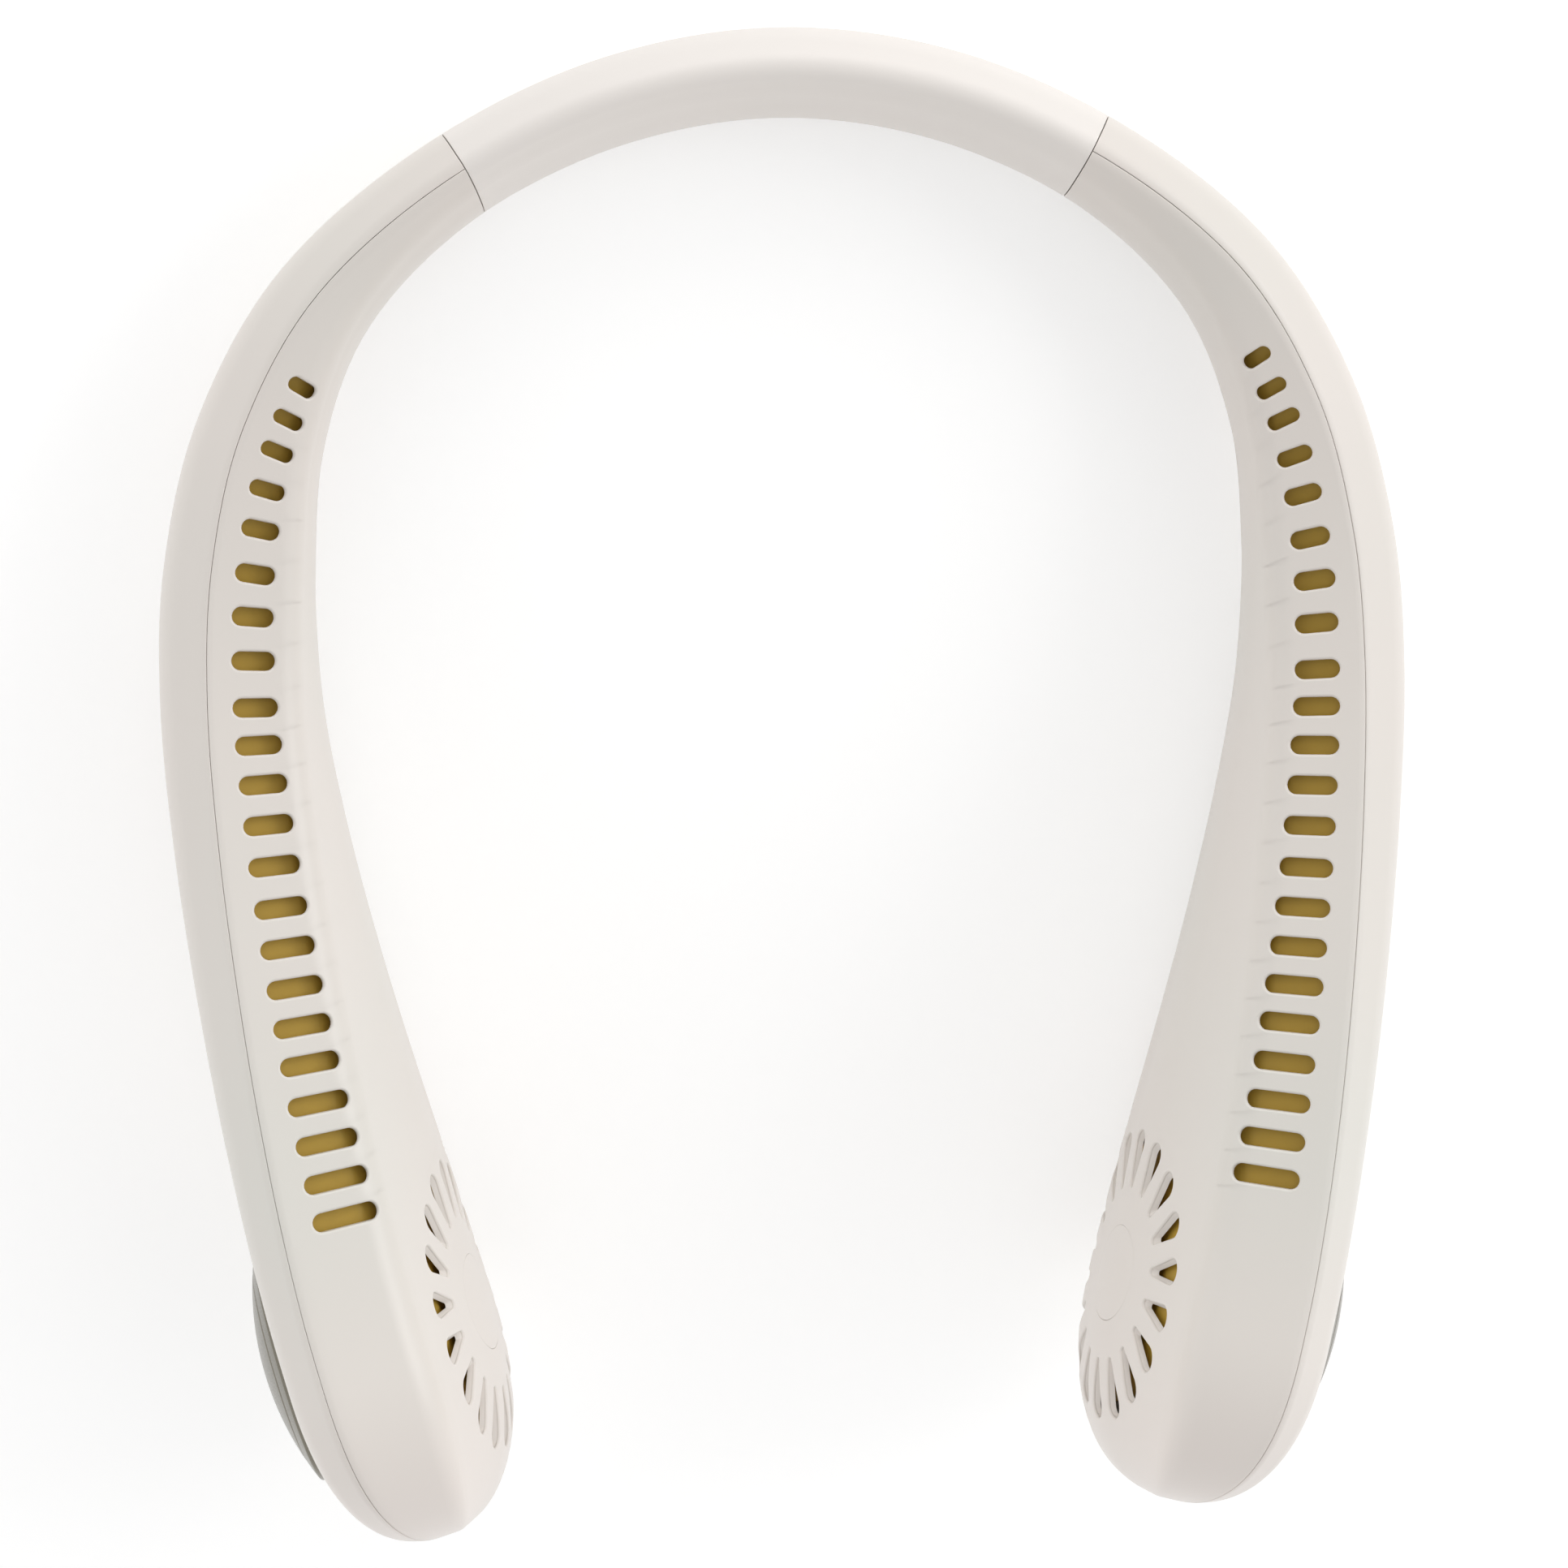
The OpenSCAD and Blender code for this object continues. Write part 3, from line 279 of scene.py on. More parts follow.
# %% Net
class Net:
    """Points with normals in blocks, and quads between them."""

    def __init__(self):
        self.points, self.normals, self.quads, self.caps, self.count = [], [], [], [], 0

    def add(self, points, normals):
        """A block of points, and the numbers they get."""
        ids = self.count + np.arange(len(points))
        self.points.append(points)
        self.normals.append(normals)
        self.count += len(points)
        return ids

    def lay(self, u, s, depth=0, side=1):
        """Points of the arm's wall with its own direction, outward for side 1 and inward for
        side -1, and their numbers in the shape of u."""
        ids = self.add(arm_wall(u, s, depth), side * outward(arm_wall, u, s))
        return ids.reshape(np.shape(u))

    def grid(self, ids, keep=None):
        """Quads between the rows of a grid of numbers, except cells that keep leaves out."""
        q = np.stack([ids[:-1, :-1], ids[:-1, 1:], ids[1:, 1:], ids[1:, :-1]], -1)
        self.quads.append(q.reshape(-1, 4) if keep is None else q[keep])

    def bridge(self, loops):
        """Quads between closed loops of numbers, each as long as the next."""
        self.grid(wrap(np.array(loops)))

    def turned(self, at, profile, facing, angles):
        """Rings about the z axis of a cutter's frame, each end closed by one face. A row of
        profile is a radius and a height, and facing is its normal in the same plane."""
        def in_frame(rows):
            flat = rows[:, None, :1] * compass(angles)
            height = np.repeat(rows[:, None, 1:], len(angles), 1)
            return np.concatenate([flat, height], 2).reshape(-1, 3) @ at[1]

        ids = self.add(in_frame(profile) + at[0], in_frame(facing)).reshape(len(profile), -1)
        self.bridge(ids)
        self.caps += [ids[0], ids[-1]]


two_rings = Net()
two_rings.bridge([two_rings.add(np.zeros((4, 3)), np.zeros((4, 3))) for _ in range(2)])
print("two rings of four points give", len(two_rings.quads[0]), "quads")

# %% [markdown]
# ## From net to mesh
# Blender draws a face from the side that its corners go round anticlockwise. It would be hard to
# keep track of that in every bridge, so each quad is checked once, here: if it is turned against
# its points' normals, it is turned round. The left arm's pieces are the mirror of the right
# arm's, and a mirror turns every face round as well.

# %% Mesh
SIDES = {"right": 1, "left": -1}
pieces = {}


def mesh_of(net, side, name):
    """The finished piece of one side, laid down, with the net's own normals."""
    p, n = laid(np.concatenate(net.points)), tipped(np.concatenate(net.normals))
    q = np.concatenate(net.quads)
    across = np.cross(p[q[:, 2]] - p[q[:, 0]], p[q[:, 3]] - p[q[:, 1]])
    wrong = (across * n[q].sum(1)).sum(1) < 0
    q[wrong] = q[wrong, ::-1]
    area = lambda c: np.cross(p[c], np.roll(p[c], -1, 0)).sum(0)
    caps = [c if area(c) @ n[c].sum(0) > 0 else c[::-1] for c in net.caps]
    if side == "left":
        p, n = p * [-1, 1, 1], n * [-1, 1, 1]
        q, caps = q[:, ::-1], [c[::-1] for c in caps]
    used = np.unique(np.concatenate([q.ravel(), *caps]))
    number = np.zeros(len(p), int)
    number[used] = np.arange(len(used))
    faces = number[q].tolist() + [number[c].tolist() for c in caps]
    mesh = bpy.data.meshes.new(name)
    mesh.from_pydata(p[used].tolist(), [], faces)
    mesh.polygons.foreach_set("use_smooth", np.ones(len(faces), bool))
    mesh.normals_split_custom_set_from_vertices(unit(n[used]).tolist())
    mesh.update()
    piece = bpy.data.objects.new(name, mesh)
    bpy.context.scene.collection.objects.link(piece)
    print(name, "faces:", len(faces))
    return piece


def make(net, name, sides=tuple(SIDES)):
    """The pieces of the sides, kept under their side and name."""
    for side in sides:
        pieces[side, name] = mesh_of(net, side, f"{side}_{name}")


print("sides:", list(SIDES))

# %% [markdown]
# ## Finding a place on the wall
# The slots and petals are drawn flat, in the frame of a cutter that comes square to the face.
# Their outlines have to land on the curved wall. For each drawn point, a coarse map of the wall
# gives a first guess of its station and its s, and a few Newton steps then correct both.

# %% Locate
MAP_LINES, NEWTON_STEPS, LONGEST_STEP, TINY, MARGIN = 60, 12, 0.1, 1e-3, 0.5


def cutter(u, out, up, lean):
    """A flat frame beside the crest: its middle, and its three directions, x outward turned up
    by lean, y back along the arm and z out of the face."""
    u = np.array([u])
    h = heading(u)[0]
    o = np.array([-h[1], h[0], 0])
    middle = placed(u, np.array([[out, up]]))[0]
    cos, sin = np.cos(lean), np.sin(lean)
    z = np.array([0, 0, 1.0])
    return middle, np.array([o * cos + z * sin, [-h[0], -h[1], 0], -o * sin + z * cos])


def locate(at, xy, u_span, s_span):
    """Station and s of the wall under the drawn points xy, and the largest miss. Each Newton
    step divides the miss by the two slopes of the wall, and is held to a small stride."""
    middle, axes = at
    flat = lambda u, s: (arm_wall(u, s, 0) - middle) @ axes[:2].T
    gu, gs = (g.ravel() for g in np.meshgrid(
        np.linspace(*u_span, MAP_LINES), np.linspace(*s_span, MAP_LINES), indexing="ij"))
    g = flat(gu, gs)
    near = ((xy[:, None, 0] - g[None, :, 0]) ** 2
            + (xy[:, None, 1] - g[None, :, 1]) ** 2).argmin(1)
    u, s = gu[near], gs[near]
    hold = lambda step: np.clip(step, -LONGEST_STEP, LONGEST_STEP)
    for _ in range(NEWTON_STEPS):
        miss = xy - flat(u, s)
        du = (flat(u + TINY, s) - flat(u - TINY, s)) / (2 * TINY)
        ds = (flat(u, s + TINY) - flat(u, s - TINY)) / (2 * TINY)
        det = du[:, 0] * ds[:, 1] - du[:, 1] * ds[:, 0]
        u = u + hold((miss[:, 0] * ds[:, 1] - miss[:, 1] * ds[:, 0]) / det)
        s = s + hold((du[:, 0] * miss[:, 1] - du[:, 1] * miss[:, 0]) / det)
        u = np.clip(u, u_span[0] - MARGIN, NEAR_TIP)
        s = np.clip(s, s_span[0] - MARGIN, s_span[1] + MARGIN)
    return u, s, np.abs(xy - flat(u, s)).max()


face_frame = cutter(7.0, -7.0, -2.0, 0.27)
found_u, found_s, _ = locate(face_frame, np.array([[1.0, 2.0]]), (6, 8), (5, 6))
print("a point drawn at 1, 2 is at station", np.round(found_u, 3), "and s", np.round(found_s, 3))

# %% [markdown]
# ## Lips
# Every opening is moulded, so its edge is round. A lip starts flat on the skin, a radius outside
# the outline, and turns down through a quarter circle until it stands on the outline. The wall
# then goes on to the inside, to the same outline or to another one: a petal's is smaller, as on
# a scoop, and a slot's reaches further towards the neck.

# %% Lips
WALL = 1.8
LIP_TURN = np.linspace(0, np.pi / 2, 5)
LEADS = np.linspace(0, 1, 8)[1:-1]
MOST_MISS, AIMS = 0.03, 3


def lead(net, start, end, shares, depths=(0, 0), side=1):
    """Loops on the wall between two loops, each a share of the way in station, s and depth."""
    (ua, sa), (ub, sb), (da, db) = start, end, depths
    return [net.lay(ua + (ub - ua) * w, sa + (sb - sa) * w, da + (db - da) * w, side)
            for w in shares]


def lip_loops(net, at, outline, facing, spans, lip, start):
    """Loops of a lip round an outline drawn in the cutter's frame, after six loops that lead to
    it over the skin from start. At angle a the lip stands lip (1 - sin a) outside the outline
    and lip (1 - cos a) deep. facing is the outline's direction away from the hole."""
    lip = np.broadcast_to(lip, len(outline))
    found = [locate(at, outline + facing * lip[:, None] * (1 - np.sin(a)), *spans)
             for a in LIP_TURN]
    worst = max(f[2] for f in found)
    assert worst < MOST_MISS, f"an outline misses the wall by {worst:.3f} mm"
    away = -(facing @ at[1][:2])
    loops = lead(net, start, found[0][:2], LEADS)
    for a, (u, s, _) in zip(LIP_TURN, found):
        normals = unit(outward(arm_wall, u, s) * np.cos(a) + away * np.sin(a))
        loops.append(net.add(arm_wall(u, s, lip * (1 - np.cos(a))), normals))
    return loops, away


print("a lip turns down at", np.round(np.degrees(LIP_TURN), 1), "degrees")

# %% Pierce
def pierce(net, rims, at, outline, facing, spans, lip, foot=None, deep=WALL):
    """An opening through the wall, between a loop on the skin and a loop on the inside, at depth
    deep. foot is the outline on the inside, where that is another one. A place on the inside is
    sought from the skin over it, and what it drifts sideways is taken off, three times."""
    (outer, start), (inner, _) = rims
    loops, away = lip_loops(net, at, outline, facing, spans, lip, start)
    aim = goal = outline if foot is None else foot
    for _ in range(AIMS):
        u, s = locate(at, aim, *spans)[:2]
        aim = aim + goal - (arm_wall(u, s, deep) - at[0]) @ at[1][:2].T
    top, below = net.points[-1], arm_wall(u, s, deep)
    steep = unit(np.cross(np.roll(top, -1, 0) - np.roll(top, 1, 0), below - top))
    steep *= np.sign((steep * away).sum(1))[:, None]
    net.bridge([outer] + loops)
    net.bridge([net.add(top, steep), net.add(below, steep)])
    net.bridge([net.lay(u, s, deep, -1), inner])


print("the wall is", WALL, "mm thick, and an outline may miss it by", MOST_MISS, "mm")

# %% [markdown]
# ## Seams and grid lines
# Each arm is two half shells that meet at the crest and along the underside. Where they meet,
# each has its own small lip, and the two lips leave the fine dark line that shows on the real
# arm. The lines of the grid are given so that whole cells fall round each opening.

# %% Seams and grid lines
SEAM, BAND_GAP, EDGE_LIP, ASIDE = 0.06, 0.1185, 0.14, 0.1
TOP_SEAM, UNDER_SEAM, SEAM_AT = 6.25, 2.69, 1.87
BESIDE_SEAM = np.array([SEAM_AT - 0.05, SEAM_AT])
SEAM_STEP = np.linalg.norm(np.diff(crest(BESIDE_SEAM), axis=0)) / np.diff(BESIDE_SEAM)[0]
ARM_FROM = SEAM_AT + BAND_GAP / SEAM_STEP
TIP_CELLS, TIP_HOLE = 42, 0.004


def ruled(stops, cells):
    """Grid lines from stop to stop, with a count of even cells between each two."""
    parts = [np.linspace(a, b, n + 1)[:-1] for a, b, n in zip(stops, stops[1:], cells)]
    return np.concatenate([*parts, stops[-1:]])


def tip_lines():
    """Stations over the round tip, evenly spaced as an angle: t is sin(angle)^(2/2.3)."""
    angle = np.linspace(0, np.pi / 2 - TIP_HOLE, TIP_CELLS + 1)[1:]
    return ROUND_FROM + (LAST - ROUND_FROM) * np.sin(angle) ** (2 / TIP_POWER)


print("a step is", round(float(SEAM_STEP), 2), "mm at the band's end, and the shells start at",
      round(float(ARM_FROM), 4))

# %% [markdown]
# ## A half shell
# A half shell is a skin and an inside, one wall apart, with an edge all round. Making both as
# grids on the same lines leaves a plain strip to close, where a Solidify modifier would lean at
# the corners and leave the openings without lips.

# %% Half shell
def shell_grid(net, u_lines, s_lines):
    """The skin and the inside of a half shell as two grids, closed all round by an edge with a
    lip. A skin line at an edge stands back from the true edge by the lip's radius."""
    u, s = np.meshgrid(u_lines, s_lines, indexing="ij")
    slope = lambda du, ds: np.linalg.norm(arm_wall(u + du, s + ds, 0) - arm_wall(
        u - du, s - ds, 0), axis=1).reshape(u.shape) / (2 * TINY)
    per_s, per_u = slope(0, TINY), slope(TINY, 0)
    back_s, back_u = np.zeros(u.shape), np.zeros(u.shape)
    back_s[:, 0], back_s[:, -1] = 1 / per_s[:, 0], -1 / per_s[:, -1]
    back_u[0] = 1 / per_u[0]
    u_skin, s_skin = u + back_u * EDGE_LIP, s + back_s * (SEAM / 2 + EDGE_LIP)
    skin, inside = net.lay(u_skin, s_skin), net.lay(u, s + back_s * SEAM / 2, WALL, -1)
    edge = lambda a: rim(a, 0, u.shape[0] - 1, 0, u.shape[1] - 1)
    ue, se, bu, bs = edge(u), edge(s), edge(back_u), edge(back_s)
    up = outward(arm_wall, ue, se)
    ahead = (arm_wall(ue - bu * ASIDE, se - bs * ASIDE, 0)
             - arm_wall(ue + bu * ASIDE, se + bs * ASIDE, 0))
    tip = np.linalg.norm(ahead, axis=1) < 1e-9
    ahead[tip] = arm_wall(ue[tip], se[tip], 0) - arm_wall(ue[tip] - STRIDE, se[tip], 0)
    away = unit(ahead - (ahead * up).sum(1)[:, None] * up)
    loops = [edge(skin)]
    for a in LIP_TURN[1:]:
        back, depth = EDGE_LIP * (1 - np.sin(a)), EDGE_LIP * (1 - np.cos(a))
        loops.append(net.add(arm_wall(ue + bu * back, se + bs * (SEAM / 2 + back), depth),
                             unit(up * np.cos(a) + away * np.sin(a))))
    net.bridge(loops)
    foot = arm_wall(ue, se + bs * SEAM / 2, WALL)
    net.bridge([net.add(net.points[-1], away), net.add(foot, away)])
    return skin, inside, u_skin, s_skin


trial = Net()
trial_grids = shell_grid(trial, ruled([3, 4], [4]), ruled([5, 6], [4]))
print("a shell of 4 by 4 cells with its edge has", trial.count, "points")

# %% Openings in the grid
def rims_of(grids, box):
    """The skin's and the inside's loops round a rectangle of cells, with stations and s."""
    skin, inside, u, s = grids
    start = (rim(u, *box), rim(s, *box))
    return (rim(skin, *box), start), (rim(inside, *box), start)


def fill(net, grids, boxes):
    """Quads all over the skin and the inside, except in the boxes."""
    for ids in grids[:2]:
        keep = np.ones((ids.shape[0] - 1, ids.shape[1] - 1), bool)
        for i0, i1, j0, j1 in boxes:
            keep[i0:i1, j0:j1] = False
        net.grid(ids, keep)


fill(trial, trial_grids, [(1, 3, 1, 3)])
print("with a box of 2 by 2 left out it has", len(trial.quads[-1]), "quads inside")

# %% [markdown]
# ## Slots and petals, drawn flat
# A slot is a straight-sided oval across the face. A petal is a long drop: a large round end, a
# small one, and the two lines that touch both. Each outline has exactly as many points as the
# rectangle of cells round it, side for side, so that the two can be bridged without a twist.

# %% Arcs and sides
SLOT_ROWS, SLOT_COLUMNS, SECTOR = 10, 12, 12
QUARTER = np.pi / 2


def turn_points(x, y, r, a0, a1, count):
    """Points and outward directions of an arc of radius r about (x, y), its end left out."""
    facing = compass(np.linspace(a0, a1, count + 1)[:-1])
    return np.array([x, y]) + r * facing, facing


def line_points(start, end, facing, count):
    """Points of a straight side, its end left out, all facing one way."""
    w = np.linspace(0, 1, count + 1)[:-1, None]
    return start + (end - start) * w, np.tile(facing, (count, 1))


def joined(*parts):
    """Parts of an outline as one, points and directions each in one row."""
    return tuple(np.concatenate(p) for p in zip(*parts))


print("a quarter of a circle in three:",
      np.round(turn_points(0, 0, 1, 0, QUARTER, 3)[0], 2).tolist())

# %% Outlines
def slot_outline(length, width):
    """A straight-sided oval along x: the arc at its low end, a side, the other arc, a side."""
    r, side = width / 2, (length - width) / 2
    return joined(
        turn_points(-side, 0, r, QUARTER, 3 * QUARTER, SLOT_ROWS),
        line_points(np.array([-side, -r]), np.array([side, -r]), [0, -1], SLOT_COLUMNS),
        turn_points(side, 0, r, -QUARTER, QUARTER, SLOT_ROWS),
        line_points(np.array([side, r]), np.array([-side, r]), [0, 1], SLOT_COLUMNS))


def petal_outline(near, near_r, far, far_r):
    """A drop along x: a side to the small end, its arc, a side back, and the large end's arc.
    The sides touch both circles, so they lean by asin(difference of radii / distance)."""
    lean = np.arcsin((far_r - near_r) / (far - near))
    low = np.array([-np.sin(lean), -np.cos(lean)])
    high = low * [1, -1]
    q = QUARTER + lean
    return joined(
        line_points([far, 0] + far_r * low, [near, 0] + near_r * low, low, SECTOR),
        turn_points(near, 0, near_r, -q, q - 2 * np.pi, SECTOR),
        line_points([near, 0] + near_r * high, [far, 0] + far_r * high, high, SECTOR),
        turn_points(far, 0, far_r, q, -q, SECTOR))


PETALS, PETAL_OUT, PETAL_IN, PETAL_R, ROOT_R = 18, 22.9, 13.7, 2.0, 0.6
FOOT_IN, FOOT_ROOT_R, FOOT_OUT, FOOT_R = 1.5, 0.4, 0.1, 1.45
PETAL = petal_outline(PETAL_IN + ROOT_R, ROOT_R, PETAL_OUT - PETAL_R, PETAL_R)
PETAL_FOOT = petal_outline(
    PETAL_IN + FOOT_IN, FOOT_ROOT_R, PETAL_OUT - PETAL_R - FOOT_OUT, FOOT_R)[0]
print("slot points:", len(slot_outline(8, 2.8)[0]), "petal points:", len(PETAL[0]))

# %% [markdown]
# ## The inner half shells
# This is the half that faces the neck, and the one that the eye goes to. It carries the slotted
# face and the grille. Its grid has ten rows of cells to each slot and a square of cells round
# the grille. The slots lie closer together near the neck, so their stations are given at seven
# of them and drawn out evenly between.

# %% Inner shell's grid lines
SLOTS, BEFORE_SLOTS, UNDER_CELLS, GRILLE_CELLS, CREST_CELLS = 22, 14, 6, 54, 5
SLOT_STATIONS = np.interp(np.arange(SLOTS), [0, 2, 4, 8, 13, 17, 21],
                          [3.57, 4.07, 4.69, 6.05, 7.37, 8.36, 9.42])
GRILLE_FROM, GRILLE_S, FACE_S = 9.155, 3.08, (4.96, 6.04)


def inner_lines():
    """Stations and s of the inner shell's grid, and the boxes of cells that the slots and the
    grille take. The grid is cut halfway between slots."""
    middles = (SLOT_STATIONS[1:] + SLOT_STATIONS[:-1]) / 2
    ends = 2 * SLOT_STATIONS[[0, -1]] - middles[[0, -1]]
    edges = [ends[0], *middles, ends[1]]
    u = np.concatenate([ruled([ARM_FROM, *edges, ROUND_FROM],
                              [BEFORE_SLOTS] + [SLOT_ROWS] * SLOTS + [BEFORE_SLOTS]), tip_lines()])
    s = ruled([UNDER_SEAM, GRILLE_S, *FACE_S, TOP_SEAM],
              [UNDER_CELLS, GRILLE_CELLS, SLOT_COLUMNS, CREST_CELLS])
    left = UNDER_CELLS + GRILLE_CELLS
    rows = BEFORE_SLOTS + SLOT_ROWS * np.arange(SLOTS)
    slots = [(row, row + SLOT_ROWS, left, left + SLOT_COLUMNS) for row in rows]
    first = int(np.argmin(np.abs(u - GRILLE_FROM)))
    return u, s, slots, (first, first + GRILLE_CELLS, UNDER_CELLS, left)


print("inner shell's grid:", [len(line) for line in inner_lines()[:2]], "lines")

# %% [markdown]
# ## The grille
# Round the grille the grid opens into a circle, and inside that circle the net is a wheel of
# eighteen sectors, one to each petal. A petal is a scoop: its sides slope a little, so that the
# mould lets it go, and the foot of its outline is smaller. The wall is thinner there, as on the
# real grille, which has to let the air through.

# %% The fan's frame
INNER_SPANS = ((8.9, 11.95), (3.0, 5.3))
FAN_STATION, FAN_DROP = 10.48, 0.562 * -END[3, 1]
FAN_SLOPE = (END[5, 0] - END[4, 0]) / (END[5, 1] - END[4, 1])
# The wall bulges past the straight from brow to knee, and the fan leans a little less than it.
BULGE_SHARE, LEAN_SHARE = 0.98, 0.8
FAN = cutter(FAN_STATION, END[5, 0] - (FAN_DROP + END[5, 1]) * FAN_SLOPE * BULGE_SHARE,
             -FAN_DROP, QUARTER - LEAN_SHARE * np.arctan(FAN_SLOPE))
GRILLE_R, SPOKE_R, INNER_R, CAP_R, CAP_GAP = 24.2, 12.6, 8.2, 7.62, 0.02
GRILLE_WALL, PETAL_LIP = 1.1, 0.4
PETAL_TURN = 2 * np.pi / PETALS


def cap_lip(angles):
    """The lip between the hub cap and the wall: 0.02 mm, and wider by 0.13 mm on the side of
    the tip and by 0.05 mm opposite, each fading as exp(-(angle / width)^4)."""
    from_tip = np.abs(np.angle(np.exp(1j * (angles + QUARTER))))
    fade = lambda x, width: np.exp(-(x / np.radians(width)) ** 4)
    return 0.02 + 0.13 * fade(from_tip, 26) + 0.05 * fade(np.pi - from_tip, 11)


def on_wheel(radii, angles):
    """Stations and s of a wheel of places round the fan's axis, as a grid."""
    xy = np.array(radii)[:, None, None] * compass(angles)
    u, s, miss = locate(FAN, xy.reshape(-1, 2), *INNER_SPANS)
    assert miss < MOST_MISS, miss
    return u.reshape(xy.shape[:2]), s.reshape(xy.shape[:2])


print("the fan's axis as worn:", np.round(FAN[1][2], 3))

# %% Grille
def grille(net, grids, box):
    """The wheel of sectors with its petals, inside the box of cells."""
    (outer, square), (inner, _) = rims_of(grids, box)
    (x0, y0), (x1, y1) = (arm_wall(square[0][:2], square[1][:2], 0) - FAN[0]) @ FAN[1][:2].T
    way = np.sign(x0 * y1 - y0 * x1)
    begin = PETAL_TURN * np.round(np.arctan2(y0, x0) / PETAL_TURN)
    angles = begin + way * PETAL_TURN / SECTOR * np.arange(PETALS * SECTOR)
    u, s = on_wheel(ruled([GRILLE_R, SPOKE_R, INNER_R], [SECTOR, 5]), angles)
    walls = []
    for side, loop, depths in ((1, outer, (0, 0)), (-1, inner, (WALL, GRILLE_WALL))):
        shares = ease(np.array([0.2, 0.4, 0.6, 0.8]))
        leads = lead(net, square, (u[0], s[0]), shares, depths, side)
        ids = net.lay(u, s, depths[1], side)
        net.bridge([loop, *leads, ids[0]])
        net.grid(wrap(ids[SECTOR:]))
        walls.append(ids)
    wheel = [wrap(a) for a in (*walls, u, s)]
    for k in range(PETALS):
        cos, sin = compass(angles[0] + way * PETAL_TURN * (k + 0.5))
        turn = np.array([[cos, sin], [-way * sin, way * cos]])
        rims = rims_of(wheel, (0, SECTOR, SECTOR * k, SECTOR * (k + 1)))
        pierce(net, rims, FAN, PETAL[0] @ turn, PETAL[1] @ turn, INNER_SPANS, PETAL_LIP,
               PETAL_FOOT @ turn, GRILLE_WALL)
    skin, inside = walls
    pierce(net, ((skin[-1], (u[-1], s[-1])), (inside[-1], None)), FAN, CAP_R * compass(angles),
           compass(angles), INNER_SPANS, cap_lip(angles), deep=GRILLE_WALL)


print("a petal's share of the wheel:", round(float(np.degrees(PETAL_TURN)), 1), "degrees")

# %% [markdown]
# ## The slots
# The slots grow towards the fan, where more air comes out, and their middles keep to the middle
# of the widening face. A wall square to the face would show as a dark strip at the neck end of
# each slot, so the slots are undercut there: the wall leans back by the slope of the face and
# four degrees more, and the eye meets the olive floor at once.

# %% Slots and the whole inner shell
SLOT_MIDDLES, SLOT_LENGTHS, SLOT_WIDTHS, SLOT_LIP = (5.3, 9.7), (4.6, 10.2), (2.1, 2.8), 0.42
UNDERCUT, WIDEN_OVER, BESIDE_SLOT, SLOT_S = np.radians(4), 5, 0.3, (4.6, 6.2)


def slot(net, grids, box, k):
    """Slot k, from the neck on, in its box of cells."""
    share = lambda span, w: span[0] + (span[1] - span[0]) * w
    at_u, w = SLOT_STATIONS[k], k / (SLOTS - 1)
    brow = corners(np.array([at_u]))[0, 5, :2]
    lean = np.arctan2(-brow[1], -brow[0])
    at = cutter(at_u, *(brow * -share(SLOT_MIDDLES, w) / brow[0]), lean)
    length, width = share(SLOT_LENGTHS, w), share(SLOT_WIDTHS, ease((k - 1) / WIDEN_OVER))
    outline, facing = slot_outline(length, width)
    under = WALL * np.tan(lean + UNDERCUT)
    foot = slot_outline(length + under, width)[0] - [under / 2, 0]
    spans = ((at_u - BESIDE_SLOT, at_u + BESIDE_SLOT), SLOT_S)
    pierce(net, rims_of(grids, box), at, outline, facing, spans, SLOT_LIP, foot)


def inner_shell():
    """The whole inner half shell, as a net."""
    net = Net()
    u_lines, s_lines, slots, grille_box = inner_lines()
    grids = shell_grid(net, u_lines, s_lines)
    fill(net, grids, slots + [grille_box])
    for k, box in enumerate(slots):
        slot(net, grids, box, k)
    grille(net, grids, grille_box)
    return net


make(inner_shell(), "inner_half")

# %% [markdown]
# ## The hub caps
# The middle of the grille is a round plug that snaps into the wall, flush with it. It is so well
# fitted that only a hair of shadow shows on part of its edge. It follows the same wall, so the
# rings of its net are found in the same way as those of the grille.

# %% Hub caps
CAP_ANGLES = full_turn(96)
CAP_AWAY = compass(CAP_ANGLES) @ FAN[1][:2]
CAP_EDGE = CAP_R - CAP_GAP
CAP_RINGS = [0.12, *np.linspace(0.9, CAP_EDGE - 0.2, 9)]


def hub_cap():
    """Rings on the wall from the middle out to radius 7.6, over a small lip and down the side."""
    net = Net()
    lip = cap_lip(CAP_ANGLES)
    u, s = on_wheel(CAP_RINGS, CAP_ANGLES)
    skin, inside = net.lay(u, s), net.lay(u, s, WALL, -1)
    cos, sin = np.cos(LIP_TURN)[:, None], np.sin(LIP_TURN)[:, None]
    reach = CAP_EDGE - lip * (1 - sin)
    xy = reach[..., None] * compass(CAP_ANGLES)
    u, s = (x.reshape(reach.shape) for x in locate(FAN, xy.reshape(-1, 2), *INNER_SPANS)[:2])
    up = outward(arm_wall, u, s).reshape(*u.shape, 3)
    facing = unit(up * cos[..., None] + CAP_AWAY * sin[..., None])
    rounded = net.add(arm_wall(u, s, lip * (1 - cos)), facing.reshape(-1, 3)).reshape(u.shape)
    side = [net.add(arm_wall(u[-1], s[-1], d), CAP_AWAY) for d in (lip, WALL)]
    net.bridge([*skin, *rounded])
    net.bridge(side)
    net.bridge([*inside, net.lay(u[-1], s[-1], WALL, -1)])
    net.caps += [skin[0], inside[0]]
    return net


make(hub_cap(), "hub_plug")
